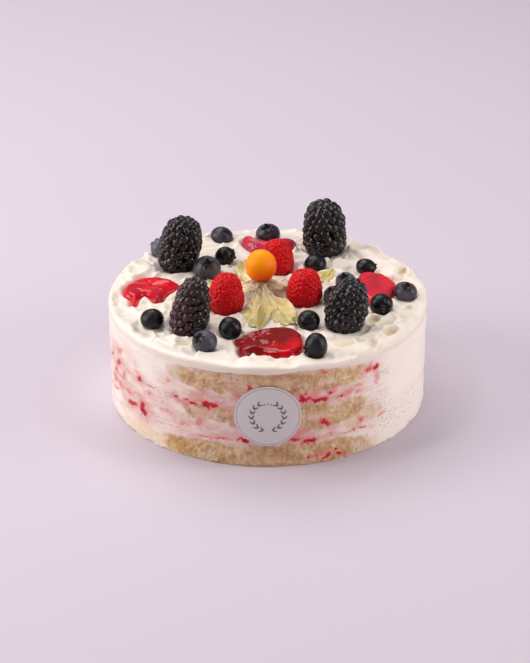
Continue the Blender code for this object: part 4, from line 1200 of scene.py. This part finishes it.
def jam(name, corners, thickness, material, seed):
    """A glossy pool with a full rounded edge and a lumpy top."""
    edge = smooth_outline(corners, 14)
    for cx, cy, radius in fruit_circles(1, 1):
        away = edge - (cx, cy)
        reach = np.hypot(*away.T)
        close = reach < radius + 0.1
        edge[close] = (cx, cy) + away[close] / reach[close, None] * (radius + 0.1)
    ripple = value_noise(flat3(*edge.T), 5.0, seed)
    centre = edge.mean(axis=0)
    edge = edge + (edge - centre) / np.hypot(*(edge - centre).T)[:, None] * 0.5 * ripple[:, None]
    low, high = edge.min(axis=0), edge.max(axis=0)
    gx, gy = np.meshgrid(np.arange(low[0], high[0], 0.75), np.arange(low[1], high[1], 0.65), indexing="ij")
    gx = gx + 0.375 * (np.arange(gx.shape[1]) % 2)[None, :]
    grid = np.stack([gx.ravel(), gy.ravel()], axis=1)
    grid = grid[edge_distance(grid, edge) < -0.35]
    points = np.concatenate([edge, grid])
    borders = [(i, (i + 1) % len(edge)) for i in range(len(edge))]
    flat, _, faces, _, _, _ = delaunay_2d_cdt([Vector(p) for p in points], borders, [], 1, 1e-5)
    spots = np.array([tuple(p) for p in flat])
    x, y = spots.T
    inside = np.maximum(0, -edge_distance(spots, edge))
    shoulder = 6.5 if name == "jam_back" else 4.2
    share = np.clip(inside / shoulder, 0, 1)
    dome = 0.55 + (thickness - 0.75) * np.sqrt(1 - (1 - share) ** 2)
    lumpy, deep, cloud_and_sheen = JAM_LOOKS[name]
    lumps = field(x, y, 8.5, 2, seed)
    wrinkles = field(x, y, 3.2, 2, seed + 5) * smoothstep(0.6 - 0.9 * lumps)
    if name == "jam_front":
        # The front pool's left part is cloudier, partly as a painted sheen.
        cloud_and_sheen = cloud_and_sheen + 0.12 * smoothstep((-6 - x) / 10)
        # Painted glow: a lighter, brighter red patch near the front of the pool.
        deep = deep - 0.95 * np.exp(-((x - 13) ** 2 + (y + 80) ** 2) / 120)
        wrinkles = wrinkles * (1 + 4 * smoothstep((2 - x) / 14))
        dome = dome * (0.62 + 0.38 * smoothstep((x + 19) / 15))
        lumpy = 0.5 + 1.0 * smoothstep((4 - x) / 12)
    if name == "jam_back":
        dome = dome * (0.6 + 0.4 * smoothstep((y - 61) / 12))
    top = GROUND + dome + lumpy * (lumps + 0.15 * wrinkles) * smoothstep(inside / 3.0)
    count = len(spots)
    verts = np.concatenate([np.stack([x, y, top], axis=1), flat3(x, y, GROUND - 0.6)])
    all_faces = [tuple(face) for face in faces] + [tuple(i + count for i in reversed(face)) for face in faces]
    sides = {(a, b): True for face in faces for a, b in zip(face, list(face[1:]) + [face[0]])}
    all_faces += [(b, a, a + count, b + count) for a, b in sides if (b, a) not in sides]
    values = {
        "deep": np.tile(np.clip(deep + 0.4 * lumps, 0, 1), 2),
        "cloud_and_sheen": np.tile(np.clip(cloud_and_sheen + 0.4 * cloud_and_sheen * wrinkles, 0, 1), 2),
    }
    return new_piece(f"{name}_pool", verts, all_faces, material, [name], values, sharp=80)


# Label

def on_side(across, up, reach):
    """Points of the label, bent round the side of the cake."""
    return round_side(across / CAKE_RADIUS, reach, up + LABEL_HEIGHT)


def label(material):
    """A round paper disc bent to the side of the cake, with a thin rounded edge."""
    sides = 120
    rings = [0.02, 4, 8, 12, 15, 17, 18.4, 19.2, 19.7, LABEL_RADIUS - 0.02]
    turns = np.linspace(0, math.tau, sides, endpoint=False)
    verts = []
    for reach in LABEL_REACH:
        for radius in rings:
            drop = 0.12 if radius > 19.8 and reach == LABEL_REACH[0] else 0.0
            verts.append(on_side(radius * np.cos(turns), radius * np.sin(turns), reach - drop))
    index = np.arange(2 * len(rings) * sides).reshape(2, len(rings), sides)
    quads = [tube_quads(index[0])[:, ::-1], tube_quads(index[1]), tube_quads(index[:, -1])]
    faces = np.concatenate(quads).tolist() + [index[0, 0].tolist(), index[1, 0, ::-1].tolist()]
    return new_piece("label_disc", np.concatenate(verts), faces, material, ["label"], sharp=40)


def label_print(material):
    """A plain ornament on the label: two sprigs of small leaves under a row of dots."""
    verts, faces, shapes = [], [], []
    for side in (-1, 1):
        for i in range(7):
            turn = math.radians(270 + side * (16 + 21 * i))
            cx, cy = 9.6 * math.cos(turn), 9.6 * math.sin(turn)
            for tilt in (-0.62, 0.62):
                shapes.append((cx, cy, turn + side * math.pi / 2 + tilt, 1.75, 0.55, 0.8))
    for i in range(-1, 2):
        shapes.append((2.1 * i, 8.6 - 0.5 * abs(i), 0.0, 0.5, 0.5, 0.0))
    corners = 14
    a = math.tau * np.arange(corners) / corners
    for number, (cx, cy, turn, half_long, half_wide, ahead) in enumerate(shapes):
        v = half_wide * np.sin(a) * (1 - 0.35 * np.cos(a))
        u = half_long * np.cos(a) + half_long * ahead
        x = cx + u * math.cos(turn) - v * math.sin(turn)
        y = cy + u * math.sin(turn) + v * math.cos(turn)
        verts += [on_side(x, y, reach) for reach in PRINT_REACH]
        index = (np.arange(2 * corners) + 2 * corners * number).reshape(2, corners)
        faces += [index[0].tolist(), index[1, ::-1].tolist(), *tube_quads(index)[:, ::-1].tolist()]
    return new_piece("label_ornament", np.concatenate(verts), faces, material, ["label"], sharp=40)


# Stage

# Lights: name, place, target, size, power, colour
LIGHTS = (
    ("left_light", (-1.4, -0.1, 0.7), (0.0, 0.0, 0.04), 1.1, 17.0, (1.0, 0.97, 0.95)),
    ("right_light", (1.4, -0.3, 0.55), (0.0, 0.0, 0.04), 1.0, 12.0, (1.0, 0.97, 0.95)),
    ("top_light", (-0.35, 0.8, 1.35), (0.0, 0.2, 0.0), 1.2, 13.5, (1.0, 0.97, 0.97)),
    ("left_spark", (-0.55, -0.15, 1.15), (0.0, 0.0, 0.06), 0.17, 1.35, (1.0, 0.98, 0.96)),
    ("right_spark", (0.65, -0.1, 1.05), (0.0, 0.0, 0.06), 0.15, 1.1, (1.0, 0.98, 0.96)),
    ("front_light", (0.1, -1.5, 0.5), (0.0, 0.0, 0.03), 0.9, 1.5, (1.0, 0.84, 0.70)),
)
# Camera: tilt down in degrees, distance, and the point that it looks at
CAMERA_TILT = 26.73
CAMERA_DISTANCE = 1.3
CAMERA_TARGET = (-0.0017, 0.0412)
FLOOR_HALF = 6.0


def stage():
    """A plain pale floor, soft studio light and the camera at the photograph's angle."""
    half = FLOOR_HALF
    mesh = bpy.data.meshes.new("floor")
    corners = [(-half, -half, 0), (half, -half, 0), (half, half, 0), (-half, half, 0)]
    mesh.from_pydata(corners, [], [(0, 1, 2, 3)])
    mesh.materials.append(floor_material())
    floor = bpy.data.objects.new("floor", mesh)
    bpy.context.scene.collection.objects.link(floor)
    world = bpy.context.scene.world or bpy.data.worlds.new("world")
    bpy.context.scene.world = world
    world.use_nodes = True
    background = world.node_tree.nodes["Background"]
    background.inputs["Color"].default_value = (1.0, 0.90, 0.91, 1.0)
    background.inputs["Strength"].default_value = 0.25
    for light in LIGHTS:
        area_light(*light)
    camera_data = bpy.data.cameras.new("camera")
    camera_data.lens = 111.0
    camera_data.sensor_width = 36.0
    camera_data.clip_end = 50.0
    camera = bpy.data.objects.new("camera", camera_data)
    tilt = math.radians(CAMERA_TILT)
    across, up = CAMERA_TARGET
    camera.location = (across, -CAMERA_DISTANCE * math.cos(tilt), up + CAMERA_DISTANCE * math.sin(tilt))
    camera.rotation_euler = (math.pi / 2 - tilt, 0.0, 0.0)
    bpy.context.scene.collection.objects.link(camera)
    bpy.context.scene.camera = camera
    bpy.context.scene.view_settings.view_transform = "Standard"


def area_light(name, place, target, size, power, colour):
    data = bpy.data.lights.new(name, "AREA")
    data.shape = "SQUARE"
    data.size = size
    data.energy = power
    data.color = colour
    light = bpy.data.objects.new(name, data)
    light.location = place
    light.rotation_euler = (Vector(target) - Vector(place)).to_track_quat("-Z", "Y").to_euler()
    bpy.context.scene.collection.objects.link(light)


def main():
    cream_top(cream_material())
    side = side_material()
    for node, bottom, top, kind in LAYERS:
        side_layer(node, bottom, top, kind, side)
    skin = bramble_material()
    for name, spec in BRAMBLES.items():
        drupelet_berry(name, spec, "bramble", skin, unit_ball(bmesh.ops.create_icosphere, subdivisions=3))
    skin = raspberry_material()
    for name, spec in RASPBERRIES.items():
        drupelet_berry(name, spec, "raspberry", skin, unit_ball(bmesh.ops.create_uvsphere, **RASPBERRY_BALL))
    skin = blueberry_material()
    for number, spec in enumerate(BLUEBERRIES, start=1):
        blueberry(number, spec, skin)
    gooseberry(gooseberry_material())
    husk(husk_material())
    gloss = jam_material()
    for index, (name, (corners, thickness)) in enumerate(JAMS.items()):
        jam(name, corners, thickness, gloss, 400 + index)
    label(label_material())
    label_print(print_material())
    stage()


main()
